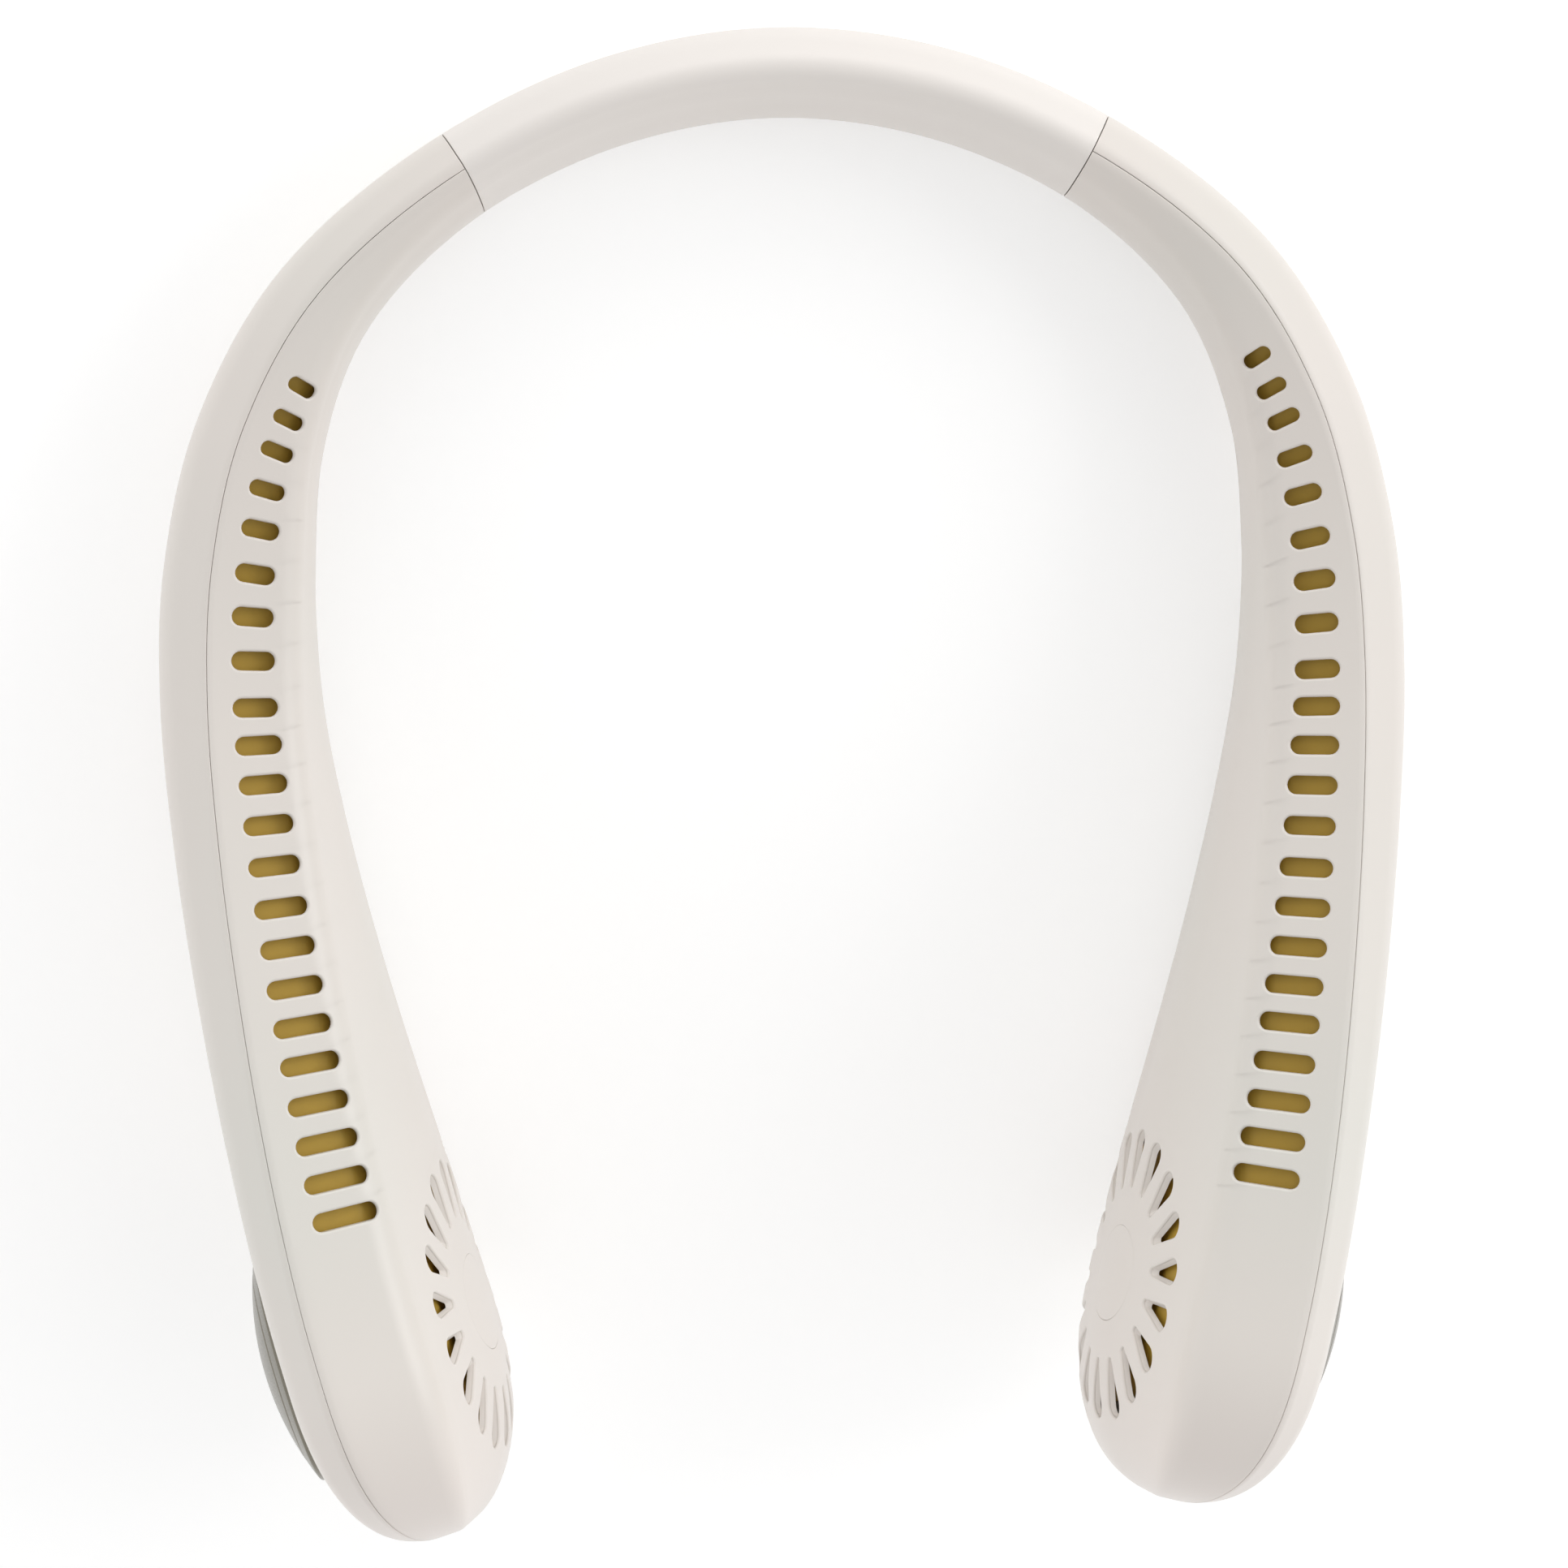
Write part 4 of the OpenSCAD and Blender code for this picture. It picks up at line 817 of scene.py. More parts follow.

# %% [markdown]
# ## The painted shade behind the caps
# Behind each cap is a dish of painted shade: its olive stands for the shaded inside of the arm,
# and it shows at a slant through the upper petals. It is a disc bent to the wall, so it needs only
# rings on two depths and a rim.

# %% Hub covers
COVER_TOP, COVER_BACK, COVER_EDGE = 2.2, 2.8, 0.1
COVER_RINGS = [0.15, *np.linspace(1.6, 21, 11), 21.2]


def hub_cover():
    """A dish of painted shade behind the cap: rings of radius up to 21.2 at 2.2 mm below
    the skin, and their back 2.8 mm below it."""
    net = Net()
    u, s = on_wheel(COVER_RINGS, CAP_ANGLES)
    depth = np.full((len(u), 1), COVER_TOP)
    depth[-1] += COVER_EDGE
    up = outward(arm_wall, u, s).reshape(*u.shape, 3)
    up[-1] = unit(up[-1] + CAP_AWAY)
    top = net.add(arm_wall(u, s, depth), up.reshape(-1, 3)).reshape(u.shape)
    back = net.lay(u, s, COVER_BACK, -1)
    net.bridge(top)
    net.bridge(back)
    net.bridge([net.add(arm_wall(u[-1], s[-1], d), CAP_AWAY) for d in (depth[-1], COVER_BACK)])
    net.caps += [top[0], back[0]]
    return net


make(hub_cover(), "hub_cover")

# %% [markdown]
# ## The air ducts
# Through every slot the same flat olive shows, right under the wall. It is the floor of a shallow
# channel that leads the air along the arm. Its olive is painted shade: the colour that the shaded
# inside of the arm takes behind the slots. It follows the wall, bent to the inside of the shell,
# and it comes up to meet the wall past the slots' inner ends.

# %% Air ducts
DUCT_STATIONS = np.linspace(3.3, 9.7, 129)
DUCT_LOW, DUCT_HIGH, DUCT_RIM = 4.9, 5.985, 0.05
DUCT_RISE, DUCT_WALL, FLOOR_FALL, FALL_FROM, FALL_OVER = 1.95, 0.8, 0.8, 4.98, 0.42


def duct_strip(net, s_line, depth, way, along=False):
    """One wall of the channel. Its normals are the skin's, or with along the way that s grows."""
    u, s = (a.ravel() for a in np.meshgrid(DUCT_STATIONS, s_line, indexing="ij"))
    depth = np.tile(depth, len(DUCT_STATIONS))
    ahead = arm_wall(u, s + SLOPE_STRIDE, depth) - arm_wall(u, s - SLOPE_STRIDE, depth)
    out = unit(ahead) if along else outward(arm_wall, u, s)
    net.grid(net.add(arm_wall(u, s, depth), out * way).reshape(len(DUCT_STATIONS), -1))


def air_duct():
    """A channel, as strips of constant s or depth. The floor goes from 1.95 mm below the skin at
    its inner edge down to 2.75 mm, the back is 0.8 mm lower, and the outer side rises again."""
    net = Net()
    floor = lambda s: DUCT_RISE + FLOOR_FALL * ease((s - FALL_FROM) / FALL_OVER)
    back = lambda s: floor(s) + DUCT_WALL
    inner_edge = DUCT_HIGH - DUCT_RIM
    wide, narrow = np.linspace(DUCT_LOW, DUCT_HIGH, 31), np.linspace(DUCT_LOW, inner_edge, 31)
    deep, lip = floor(inner_edge), np.full(2, DUCT_RISE)
    duct_strip(net, wide, back(wide), -1)
    duct_strip(net, np.full(2, DUCT_HIGH), np.array([back(inner_edge), DUCT_RISE]), 1, along=True)
    duct_strip(net, np.array([DUCT_HIGH, inner_edge]), lip, 1)
    duct_strip(net, np.full(2, inner_edge), np.array([DUCT_RISE, deep]), -1, along=True)
    duct_strip(net, narrow, floor(narrow), 1)
    duct_strip(net, np.full(2, DUCT_LOW), DUCT_RISE + np.array([0, DUCT_WALL]), -1, along=True)
    ring_s = np.concatenate([wide, [DUCT_HIGH, inner_edge], narrow[::-1]])
    ring_depth = np.concatenate([back(wide), lip, floor(narrow[::-1])])
    for u, way in ((DUCT_STATIONS[0], -1), (DUCT_STATIONS[-1], 1)):
        end = np.append(heading(np.array([u]))[0], 0) * way
        net.caps.append(net.add(arm_wall(u, ring_s, ring_depth), np.tile(end, (len(ring_s), 1))))
    return net


make(air_duct(), "duct_channel")

# %% [markdown]
# ## Frames on the outer wall
# The outside of each arm carries the metal disc, and the right one a button, a port and a light
# too. Each has its own frame on the wall, and each opening is an oval drawn in that frame.

# %% Frames on the outer wall
OUTER_SPANS, CONTROL_SPANS = ((9.3, 11.75), (1.4, 2.2)), ((6.0, 7.4), (1.45, 2.1))
DISC_DROP, DISC_PROUD = 31.68, 0.3
DISC = cutter(FAN_STATION, np.interp(DISC_DROP, -END[1:3, 1], END[1:3, 0]) + DISC_PROUD,
              -DISC_DROP, -QUARTER)


def on_sidewall(u, drop):
    """A frame on the outer wall, x down, y back along the arm and z out of the wall."""
    q = corners(np.array([u]))[0]
    w = (drop + q[1, 1]) / (q[1, 1] - q[2, 1])
    lean = np.arctan2(q[1, 0] - q[2, 0], q[1, 1] - q[2, 1])
    return cutter(u, q[1, 0] + (q[2, 0] - q[1, 0]) * w, -drop, -QUARTER - lean)


def oval(at, start, reach, r):
    """An oval's outline in a cutter's frame, one point towards each point of the rectangle round
    it: a circle of radius r drawn out by reach both ways along y. Where the ray meets a straight
    side its length is r / |x|, and past it the root of the far circle's equation."""
    d = unit((arm_wall(*start, 0) - at[0]) @ at[1][:2].T)
    x, y = np.abs(d[:, 0]), np.abs(d[:, 1])
    on_side = r / np.maximum(x, 1e-9)
    on_end = y * reach + np.sqrt(np.maximum((y * reach) ** 2 - reach ** 2 + r ** 2, 0))
    outline = d * np.where(on_side * y <= reach, on_side, on_end)[:, None]
    middle = np.stack([np.zeros(len(d)), np.clip(outline[:, 1], -reach, reach)], 1)
    return outline, unit(outline - middle)


BUTTON, PORT, LIGHT = on_sidewall(6.4, 15), on_sidewall(6.95, 15), on_sidewall(6.65, 21)
# The box of cells of each control, its frame, half its straight part, its radius and its lip.
CONTROLS = (((46, 68, 32, 60), BUTTON, 0, 3.45, 0.3), ((72, 97, 38, 56), PORT, 2.9, 1.6, 0.3),
            ((66, 73, 61, 70), LIGHT, 0, 0.95, 0.12))
print("the disc's middle as worn:", np.round(DISC[0], 2), "controls:", len(CONTROLS))

# %% [markdown]
# ## The outer half shells
# The other half of each arm is plain, but for a round pad that carries the metal disc. On the
# real part the pad grows out of the wall with a small fillet, because a sharp inside corner is
# weak and hard to mould. The right arm also has the openings of the controls.

# %% Disc seat
SEAT_R, PAD_DEEP, SEAT_EDGE, FILLET = 18.9, 3.0, 0.25, (0.03, 0.6)
SEAT_RINGS = (SEAT_R - 0.6, 15, 10, 5, 0.5)
CONTROLS_FROM, CONTROLS_TO, SEAT_FROM, SEAT_S = 6.18, 7.24, 9.4, (1.5, 2.02)
SEAT_CELLS, SEAT_COLUMNS, UNDER_SEAT = 54, 52, 25


def disc_seat(net, rims):
    """The pad: a fillet out of the skin, its side, a round edge, and its face across the middle.
    The fillet is half as high as the pad stands there, up to 0.6 mm. Inside the arm, the wall
    behind the pad leads to the first of the face's rings, and the pad's back overhangs it."""
    (outer, start), (inner, _) = rims
    out_of = DISC[1][2]
    _, facing = oval(DISC, start, 0, SEAT_R)
    height = lambda u, s: (arm_wall(u, s, 0) - DISC[0]) @ out_of
    away = facing @ DISC[1][:2]
    u, s, _ = locate(DISC, facing * SEAT_R, *OUTER_SPANS)
    fillet = np.clip(-height(u, s) / 2, *FILLET)
    loops = []
    for a in LIP_TURN:
        reach = SEAT_R + fillet * (1 - np.sin(a))
        u, s, _ = locate(DISC, facing * reach[:, None], *OUTER_SPANS)
        if a == 0:
            loops += lead(net, start, (u, s), (0.25, 0.5, 0.75))
        raised = arm_wall(u, s, 0) + out_of * (fillet * (1 - np.cos(a)))[:, None]
        loops.append(net.add(
            raised, unit(outward(arm_wall, u, s) * np.cos(a) + away * np.sin(a))))
    net.bridge([outer] + loops)
    around = lambda r, z: DISC[0] + away * r + out_of * z
    ring = lambda r, z, n: net.add(around(r, z), np.broadcast_to(n, away.shape))
    low = np.minimum(-SEAT_EDGE, height(u, s) / 2)[:, None]
    rounded = [ring(SEAT_R - SEAT_EDGE * (1 - np.cos(a)), -SEAT_EDGE * (1 - np.sin(a)),
                    away * np.cos(a) + out_of * np.sin(a)) for a in LIP_TURN]
    face = [ring(r, 0, out_of) for r in SEAT_RINGS]
    net.bridge([loops[-1], ring(SEAT_R, low, away), *rounded, *face])
    net.bridge([inner, net.lay(u, s, WALL, -1)])
    under = [ring(r, -PAD_DEEP, -out_of) for r in (SEAT_R, *SEAT_RINGS)]
    behind = around(SEAT_RINGS[0], -PAD_DEEP)
    net.bridge([net.add(arm_wall(u, s, WALL), away), net.add(behind, away)])
    net.bridge(under)
    net.caps += [face[-1], under[-1]]


print("radii of the rings on the pad:", SEAT_RINGS)

# %% Outer shells
def outer_shell(controls):
    """The whole outer half shell, as a net."""
    net = Net()
    u_lines = np.concatenate([
        ruled([ARM_FROM, CONTROLS_FROM, CONTROLS_TO, SEAT_FROM, ROUND_FROM], [46, 53, 22, 32]),
        tip_lines()])
    s_lines = ruled([TOP_SEAM - 6, *SEAT_S, UNDER_SEAM], [UNDER_SEAT, SEAT_COLUMNS, 14])
    grids = shell_grid(net, u_lines, s_lines)
    first = int(np.argmin(np.abs(u_lines - SEAT_FROM)))
    seat = (first, first + SEAT_CELLS, UNDER_SEAT, UNDER_SEAT + SEAT_COLUMNS)
    fill(net, grids, [seat] + [control[0] for control in controls])
    for box, at, reach, r, lip in controls:
        rims = rims_of(grids, box)
        pierce(net, rims, at, *oval(at, rims[0][1], reach, r), CONTROL_SPANS, lip)
    disc_seat(net, rims_of(grids, seat))
    return net


make(outer_shell(CONTROLS), "outer_half", ["right"])
make(outer_shell(()), "outer_half", ["left"])

# %% [markdown]
# ## Turned pieces
# The metal disc is spun from sheet: a low dome with a rolled edge and one fine ring near it. The
# button and the light are small moulded pins. All of them are round, so each is one profile
# carried round an axis.

# %% Profiles
DISC_R, DISC_RIM, DISC_DOME, DISC_ROLL, BACK_ROLL = 18.5, 0.9, 3.8, 0.45, 0.25
GROOVE_R, GROOVE_WIDE, GROOVE_DEEP = 15.6, 0.22, 0.2
DOWN = np.array([[0, -1.0], [0, -1]])


def arc(r, z, radius, a0, a1, count):
    """Rows of a profile on a quarter or so of a circle about (r, z), with their normals. The
    angle is measured from the axis."""
    facing = compass(np.linspace(a0, a1, count))[:, ::-1]
    return np.array([r, z]) + radius * facing, facing


def disc_profile():
    """From the middle of the back out, round the rolled edge and up over the dome. The dome is
    part of a sphere whose radius is (r^2 + h^2) / 2h, with a groove 0.2 mm deep at radius 15.6."""
    ball = (DISC_R ** 2 + DISC_DOME ** 2) / (2 * DISC_DOME)
    low, inner = DISC_RIM + DISC_DOME - ball, DISC_R - DISC_ROLL
    height = np.sqrt((ball - DISC_ROLL) ** 2 - inner ** 2)
    r = np.concatenate([np.linspace(inner, 16.4, 5)[1:], np.linspace(16.2, 15, 13),
                        np.linspace(14.6, 0.1, 24)])
    a = np.arcsin(r / ball)
    groove = np.exp(-((r - GROOVE_R) / GROOVE_WIDE) ** 2)
    slope = GROOVE_DEEP * 2 * (r - GROOVE_R) / GROOVE_WIDE ** 2 * groove
    dome = np.stack([r, low + np.sqrt(ball ** 2 - r ** 2) - GROOVE_DEEP * groove], 1)
    back = DISC_R - BACK_ROLL
    return joined(
        (np.array([[0.1, 0], [back, 0]]), DOWN),
        arc(back, BACK_ROLL, BACK_ROLL, np.pi, QUARTER, 4),
        arc(inner, low + height, DISC_ROLL, QUARTER, np.arctan2(inner, height), 6),
        (dome, unit(np.stack([np.sin(a) - slope, np.cos(a)], 1))))


def pin_profile(r, low, high, dome, edge):
    """A pin from low to high with a round edge and a top that rises by dome, as 1 - (x/r)^2."""
    x = np.linspace(r - edge, 0.05, 10)
    slope = 2 * dome * x / (r - edge) ** 2
    top = np.stack([x, high + dome * (1 - (x / (r - edge)) ** 2)], 1)
    return joined(
        (np.array([[0.05, low], [r, low]]), DOWN),
        (np.array([[r, low]]), np.array([[1.0, 0]])),
        arc(r - edge, high - edge, edge, QUARTER, 0, 6),
        (top, unit(np.stack([slope, np.ones(10)], 1))))


print("rows in the disc's profile:", len(disc_profile()[0]))

# %% [markdown]
# ## Carried round
# The button is a cap that stands 0.6 mm proud, on a wider collar that keeps it from falling out.
# The light is a thin clear pin that leads from the lamp on the board to the skin.

# %% Turn them
disc, button, lens = Net(), Net(), Net()
disc.turned(DISC, *disc_profile(), full_turn(128))
stem = pin_profile(r=3.4, low=-WALL - 0.6, high=0.6, dome=0.1, edge=0.35)
collar = pin_profile(r=4.2, low=-WALL - 1.15, high=-WALL - 0.3, dome=0.01, edge=0.1)
button.turned(BUTTON, *stem, full_turn(128))
button.turned(BUTTON, *collar, full_turn(128))
lens.turned(LIGHT, *pin_profile(r=0.9, low=-6.2, high=0.0, dome=0.12, edge=0.15), full_turn(32))
make(disc, "metal_disc")
power = mesh_of(button, "right", "button_cap")
lamp = mesh_of(lens, "right", "light_lens_pin")

# %% [markdown]
# ## The neck band
# The band is one soft moulded sleeve, and the strip and the wires run inside it. It bends when
# the arms open. A piece can bend across one joint only, so each of the three is made as two
# halves that meet in the middle, on the same points and normals, one for each arm.

# %% Sleeve
HOLLOW, HOLLOW_W, HOLLOW_H = (1.6, -10.4), 3.4, 11.4
SLEEVE_LIP, SLEEVE_RINGS = 0.2, 60
ROUND_SHARES = np.array([0, 0.08, 0.17, 0.25, 0.33, 0.42, 0.5, 0.6, 0.7, 0.8, 0.9])


def hollow(u, s):
    """The hollow's wall: a rectangle whose six corners are joined by straights as s goes by."""
    w, h = HOLLOW_W / 2, HOLLOW_H / 2
    q = np.array([[0, h], [w, h], [w, -h], [-w, -h], [-w, 0], [-w, h], [0, h]]) + HOLLOW
    return placed(u, np.stack([np.interp(s, range(7), q[:, k]) for k in (0, 1)], 1))


def sleeve_half():
    """Rings of the skin from the middle to the end, a lip, the end, and the hollow back."""
    net = Net()
    s = (np.arange(6)[:, None] + ROUND_SHARES).ravel()
    u = np.linspace(0, SEAM_AT - 0.03, SLEEVE_RINGS)
    uu, ss = (g.ravel() for g in np.meshgrid(u, s, indexing="ij"))
    up = outward(band_wall, uu, ss)
    up[:len(s), 0] = 0
    skin = net.add(band_wall(uu, ss, 0), unit(up)).reshape(len(u), -1)
    end = np.full(len(s), SEAM_AT)
    ahead = np.tile(np.append(heading(end[:1])[0], 0), (len(s), 1))
    loops = []
    for a in LIP_TURN:
        at = end - SLEEVE_LIP * (1 - np.sin(a)) / SEAM_STEP
        loops.append(net.add(band_wall(at, s, SLEEVE_LIP * (1 - np.cos(a))),
                             unit(outward(band_wall, at, s) * np.cos(a) + ahead * np.sin(a))))
    net.bridge([*skin, *loops])
    net.bridge([loops[-1], net.add(hollow(end, s), ahead)])
    wall = hollow(np.append(uu, end), np.append(ss, s))
    centre = placed(uu, np.tile(HOLLOW, (len(uu), 1)))
    centre = np.concatenate([centre, centre[-len(s):]])
    net.bridge(net.add(wall, unit(centre - wall)).reshape(-1, len(s)))
    flat = np.tile([-1.0, 0, 0], (len(s), 1))
    net.bridge([net.add(band_wall(0, s, 0), flat), net.add(hollow(0 * s, s), flat)])
    return net


halves = {"sleeve_half": sleeve_half()}
print("points in half a sleeve:", halves["sleeve_half"].count)

# %% [markdown]
# ## The strip and the wires
# The steel strip keeps the U's shape, and the wires join the two arms. Both run inside the band
# and a little way into the arms. Each is one outline carried along the crest line.

# %% Strip and wires
STRIP_HALF, STRIP_ROUND, WIRE_R = (0.2, 4.15), 0.05, 0.45
STRIP_OUT, WIRE_OUT, STRIP_TO, WIRE_TO = 2.2, 1.3, 2.2, 5.9


def rod(stations, outline, facing):
    """An outline carried along the band at the given stations, closed at both ends. A row of
    the outline is a place, outward and up from the crest, and facing is its normal."""
    net = Net()
    n, m = len(stations), len(outline)
    u = np.repeat(stations, m)
    h = heading(u)
    f = np.tile(facing, (n, 1))
    normals = np.stack([-h[:, 1] * f[:, 0], h[:, 0] * f[:, 0], f[:, 1]], 1)
    net.bridge(net.add(placed(u, np.tile(outline, (n, 1))), normals).reshape(n, m))
    for row, way in ((0, -1), (-1, 1)):
        run = np.append(heading(stations[row:][:1])[0], 0) * way
        at_end = placed(np.full(m, stations[row]), outline)
        net.caps.append(net.add(at_end, np.tile(run, (m, 1))))
    return net


strip_outline, strip_facing = joined(*(
    turn_points(x * STRIP_HALF[0], y * STRIP_HALF[1], STRIP_ROUND,
                quarter * QUARTER, (quarter + 1) * QUARTER, 3)
    for quarter, (x, y) in enumerate([(1, 1), (-1, 1), (-1, -1), (1, -1)])))
wire = compass(full_turn(16))
halves["spring_half"] = rod(
    np.linspace(0, STRIP_TO, 41), strip_outline + [STRIP_OUT, HOLLOW[1]], strip_facing)
halves["loom_half"] = rod(
    np.linspace(0, WIRE_TO, 121), wire * WIRE_R + [WIRE_OUT, HOLLOW[1]], wire)
for side in SIDES:
    for name, net in halves.items():
        make(net, name, [side])

# %% [markdown]
# ## Nodes of a material
# A moulded part is never one flat colour. Its tint drifts a little, its gloss changes with the
# flow of the plastic, and its skin has the fine grain of the mould. All of that comes from
# nodes, so a few short functions make the nodes. The patterns use places in metres, with x made
# positive so that both arms match.

# %% Node helpers
def linear(r, g, b):
    """A screen colour as the light values that a shader takes."""
    c = np.array([r, g, b]) / 255
    return (*np.where(c <= 0.04045, c / 12.92, ((c + 0.055) / 1.055) ** 2.4), 1)


def add_node(tree, kind, links=(), values=(), **settings):
    """A node with its settings, its linked inputs and its plain values."""
    node = tree.nodes.new("ShaderNode" + kind)
    for name, value in settings.items():
        setattr(node, name, value)
    for name, value in values:
        node.inputs[name].default_value = value
    for name, source in links:
        tree.links.new(source, node.inputs[name])
    return node.outputs


def place_of(tree):
    """A point's own place, with x made positive."""
    place = add_node(tree, "TexCoord")["Object"]
    return add_node(tree, "VectorMath", [(0, place)], operation="ABSOLUTE")["Vector"]


def noise(tree, place, per_metre, detail=2.0):
    """A cloudy pattern, with so many patches to a metre."""
    return add_node(tree, "TexNoise", [("Vector", place)],
                    [("Scale", per_metre), ("Detail", detail)])["Fac"]


def shade(tree, source, low, high):
    """A number drawn from a pattern: low where the pattern is dark and high where it is light."""
    return add_node(tree, "MapRange", [(0, source)],
                    [(1, 0.3), (2, 0.7), (3, low), (4, high)])[0]


print("a mid grey of the screen is", round(float(linear(128, 128, 128)[0]), 3), "as light")

# %% [markdown]
# ## Patterns
# Some finishes have a make-up of their own: the steel sheets of the motor lie in a stack, its
# wire is wound, foam has cells, and spun metal has rings round its axis. Each is a small
# function that gives a pattern, so a finish can take it for its relief or for its second tint.

# %% Patterns
def broad(per_metre):
    """A slow drift from the one tint to the other, a few centimetres wide."""
    return lambda tree, place: shade(tree, noise(tree, place, per_metre, 1.0), 0, 1)


def bands(per_metre, axis):
    """Even bands along an axis, for sheet stacks and wound wire: a sine of the place along it."""
    def pattern(tree, place):
        along = add_node(tree, "VectorMath", [(0, place)], [(1, axis)],
                         operation="DOT_PRODUCT")["Value"]
        turn = add_node(tree, "Math", [(0, along)], [(1, 2 * np.pi * per_metre)],
                        operation="MULTIPLY")[0]
        wave = add_node(tree, "Math", [(0, turn)], operation="SINE")[0]
        return add_node(tree, "MapRange", [(0, wave)], [(1, -1.0)])[0]
    return pattern


def cells(per_metre, feature="F1"):
    """A pattern of small cells, for foam and pressed powder."""
    return lambda tree, place: add_node(tree, "TexVoronoi", [("Vector", place)],
                                        [("Scale", per_metre)], feature=feature)["Distance"]


def rings(per_metre):
    """Fine rings, from the piece's own distance to its axis."""
    def pattern(tree, place):
        away = add_node(tree, "Attribute", attribute_name="from_axis")["Fac"]
        return add_node(tree, "TexNoise", [("W", away)], [("Scale", per_metre), ("Detail", 3.0)],
                        noise_dimensions="1D")["Fac"]
    return pattern


print("sheets in a centimetre of the stator's stack:", 2850 // 100)

# %% [markdown]
# ## Colours and finishes
# Each finish mixes two close tints with a broad noise, and lets a fine one press a relief of a
# few thousandths of a millimetre. The relief is small on purpose: moulded plastic looks smooth
# at arm's length, and its grain only softens the highlights.

# %% Finishes
def finish(name, colour, rough, metal=0.0, drift=0.03, patch=70, grain=3000, relief=2e-6,
           height=None, second=None):
    """A finish in one colour. height and second are functions that give another pattern for the
    relief and for the second tint."""
    material = bpy.data.materials.new(name)
    material.use_nodes = True
    tree = material.node_tree
    shader = tree.nodes["Principled BSDF"]
    place = place_of(tree)
    slow, fine = noise(tree, place, patch), noise(tree, place, grain)
    tint = np.array(linear(*colour))
    if second:
        tints, share = (tint, linear(*second[0])), second[1](tree, place)
    else:
        tints = (tint * (1 - drift), np.clip(tint * (1 + drift), 0, 1))
        share = shade(tree, slow, 0, 1)
    mix = add_node(tree, "Mix", [(0, share)], [(6, tuple(tints[0])), (7, tuple(tints[1]))],
                   data_type="RGBA")
    bump = add_node(tree, "Bump", [("Height", height(tree, place) if height else fine)],
                    [("Strength", 1.0), ("Distance", relief)])
    tree.links.new(mix[2], shader.inputs["Base Color"])
    tree.links.new(bump[0], shader.inputs["Normal"])
    tree.links.new(shade(tree, fine, rough * 0.93, rough * 1.07), shader.inputs["Roughness"])
    shader.inputs["Metallic"].default_value = metal
    return material


FAN_AXIS = (-0.944716, 0.309799, 0.107408)
SHEETS, WOUND = bands(2850, FAN_AXIS), bands(4500, (0.3, 0.2, 0.93))
FINISH = {
    "soft_cream": finish("soft cream rubber", (228, 224, 219), 0.5, grain=5000, relief=3e-6,
                         second=((232, 226, 221), broad(14))),
    "cream_plastic": finish("cream moulded plastic", (218, 215, 208), 0.34, relief=8e-7,
                            second=((224, 216, 210), broad(14))),
    # The olive is painted shade: it stands for the shaded inside of the cream arm, seen through
    # the slots and petals.
    "olive_plastic": finish("olive moulded plastic", (198, 163, 63), 0.55, drift=0.04, patch=160,
                            relief=3e-6),
    "white_plastic": finish("white nylon", (224, 224, 218), 0.45, drift=0.02, relief=1.5e-6),
    # Tan: on the neck plug this is painted shade, the brown shadow line of the seams at the band's
    # ends, where the plug shows through. The tact switch simply has this colour.
    "grey_plastic": finish("warm grey plastic", (178, 161, 132), 0.5, drift=0.03),
    "button_grey": finish("pale grey plastic", (205, 203, 198), 0.4, drift=0.02, relief=1e-6),
    # The disc's metal tint is darkened as painted reflection, for the dark surroundings that its
    # chrome shows. Its rings are the spinning's own.
    "silver_disc": finish("spun metal", (122, 118, 107), 0.27, metal=1.0, drift=0.02,
                          height=rings(6000), relief=1.2e-6,
                          second=((131, 127, 117), rings(900))),
    "zinc_steel": finish("zinc-plated steel", (196, 198, 202), 0.28, metal=1.0, drift=0.04,
                         patch=500),
    "spring_steel": finish("drawn steel", (150, 153, 158), 0.3, metal=1.0, drift=0.04, patch=400),
    "magnet_grey": finish("bonded magnet", (70, 70, 73), 0.6, height=cells(2500), relief=6e-6),
    "bush_brass": finish("sintered bronze", (170, 132, 82), 0.45, metal=1.0, height=cells(4000),
                         relief=5e-6),
    "stator_steel": finish("stacked steel sheets", (138, 138, 136), 0.4, metal=1.0,
                           height=SHEETS, relief=3e-5, second=((96, 97, 98), SHEETS)),
    "coil_copper": finish("wound copper wire", (186, 104, 58), 0.32, metal=0.9,
                          height=WOUND, relief=4e-5, second=((140, 70, 36), WOUND)),
    "cell_wrap": finish("foil pouch", (172, 186, 200), 0.3, metal=0.6, patch=120,
                        height=cells(260, "SMOOTH_F1"), relief=1.2e-4),
    "foam_grey": finish("foam", (84, 84, 84), 0.9, height=cells(1500), relief=2e-4),
    "board_green": finish("circuit board", (34, 92, 58), 0.35,
                          second=((58, 128, 80), cells(420, "DISTANCE_TO_EDGE"))),
    "light_lens": finish("milky lens", (238, 240, 238), 0.25, drift=0.01, relief=5e-7),
    "wire_red": finish("wire coating", (176, 44, 38), 0.4, height=bands(900, (1, 0.5, 0.2)),
                       relief=2e-5)}
print("finishes:", len(FINISH))

# %% [markdown]
# ## Dressing the solids
# The parts inside are turned, stamped and wound just as the solids show them, so the solids stay
# and only get a finish. The names of the two arms' parts differ by their first word alone.

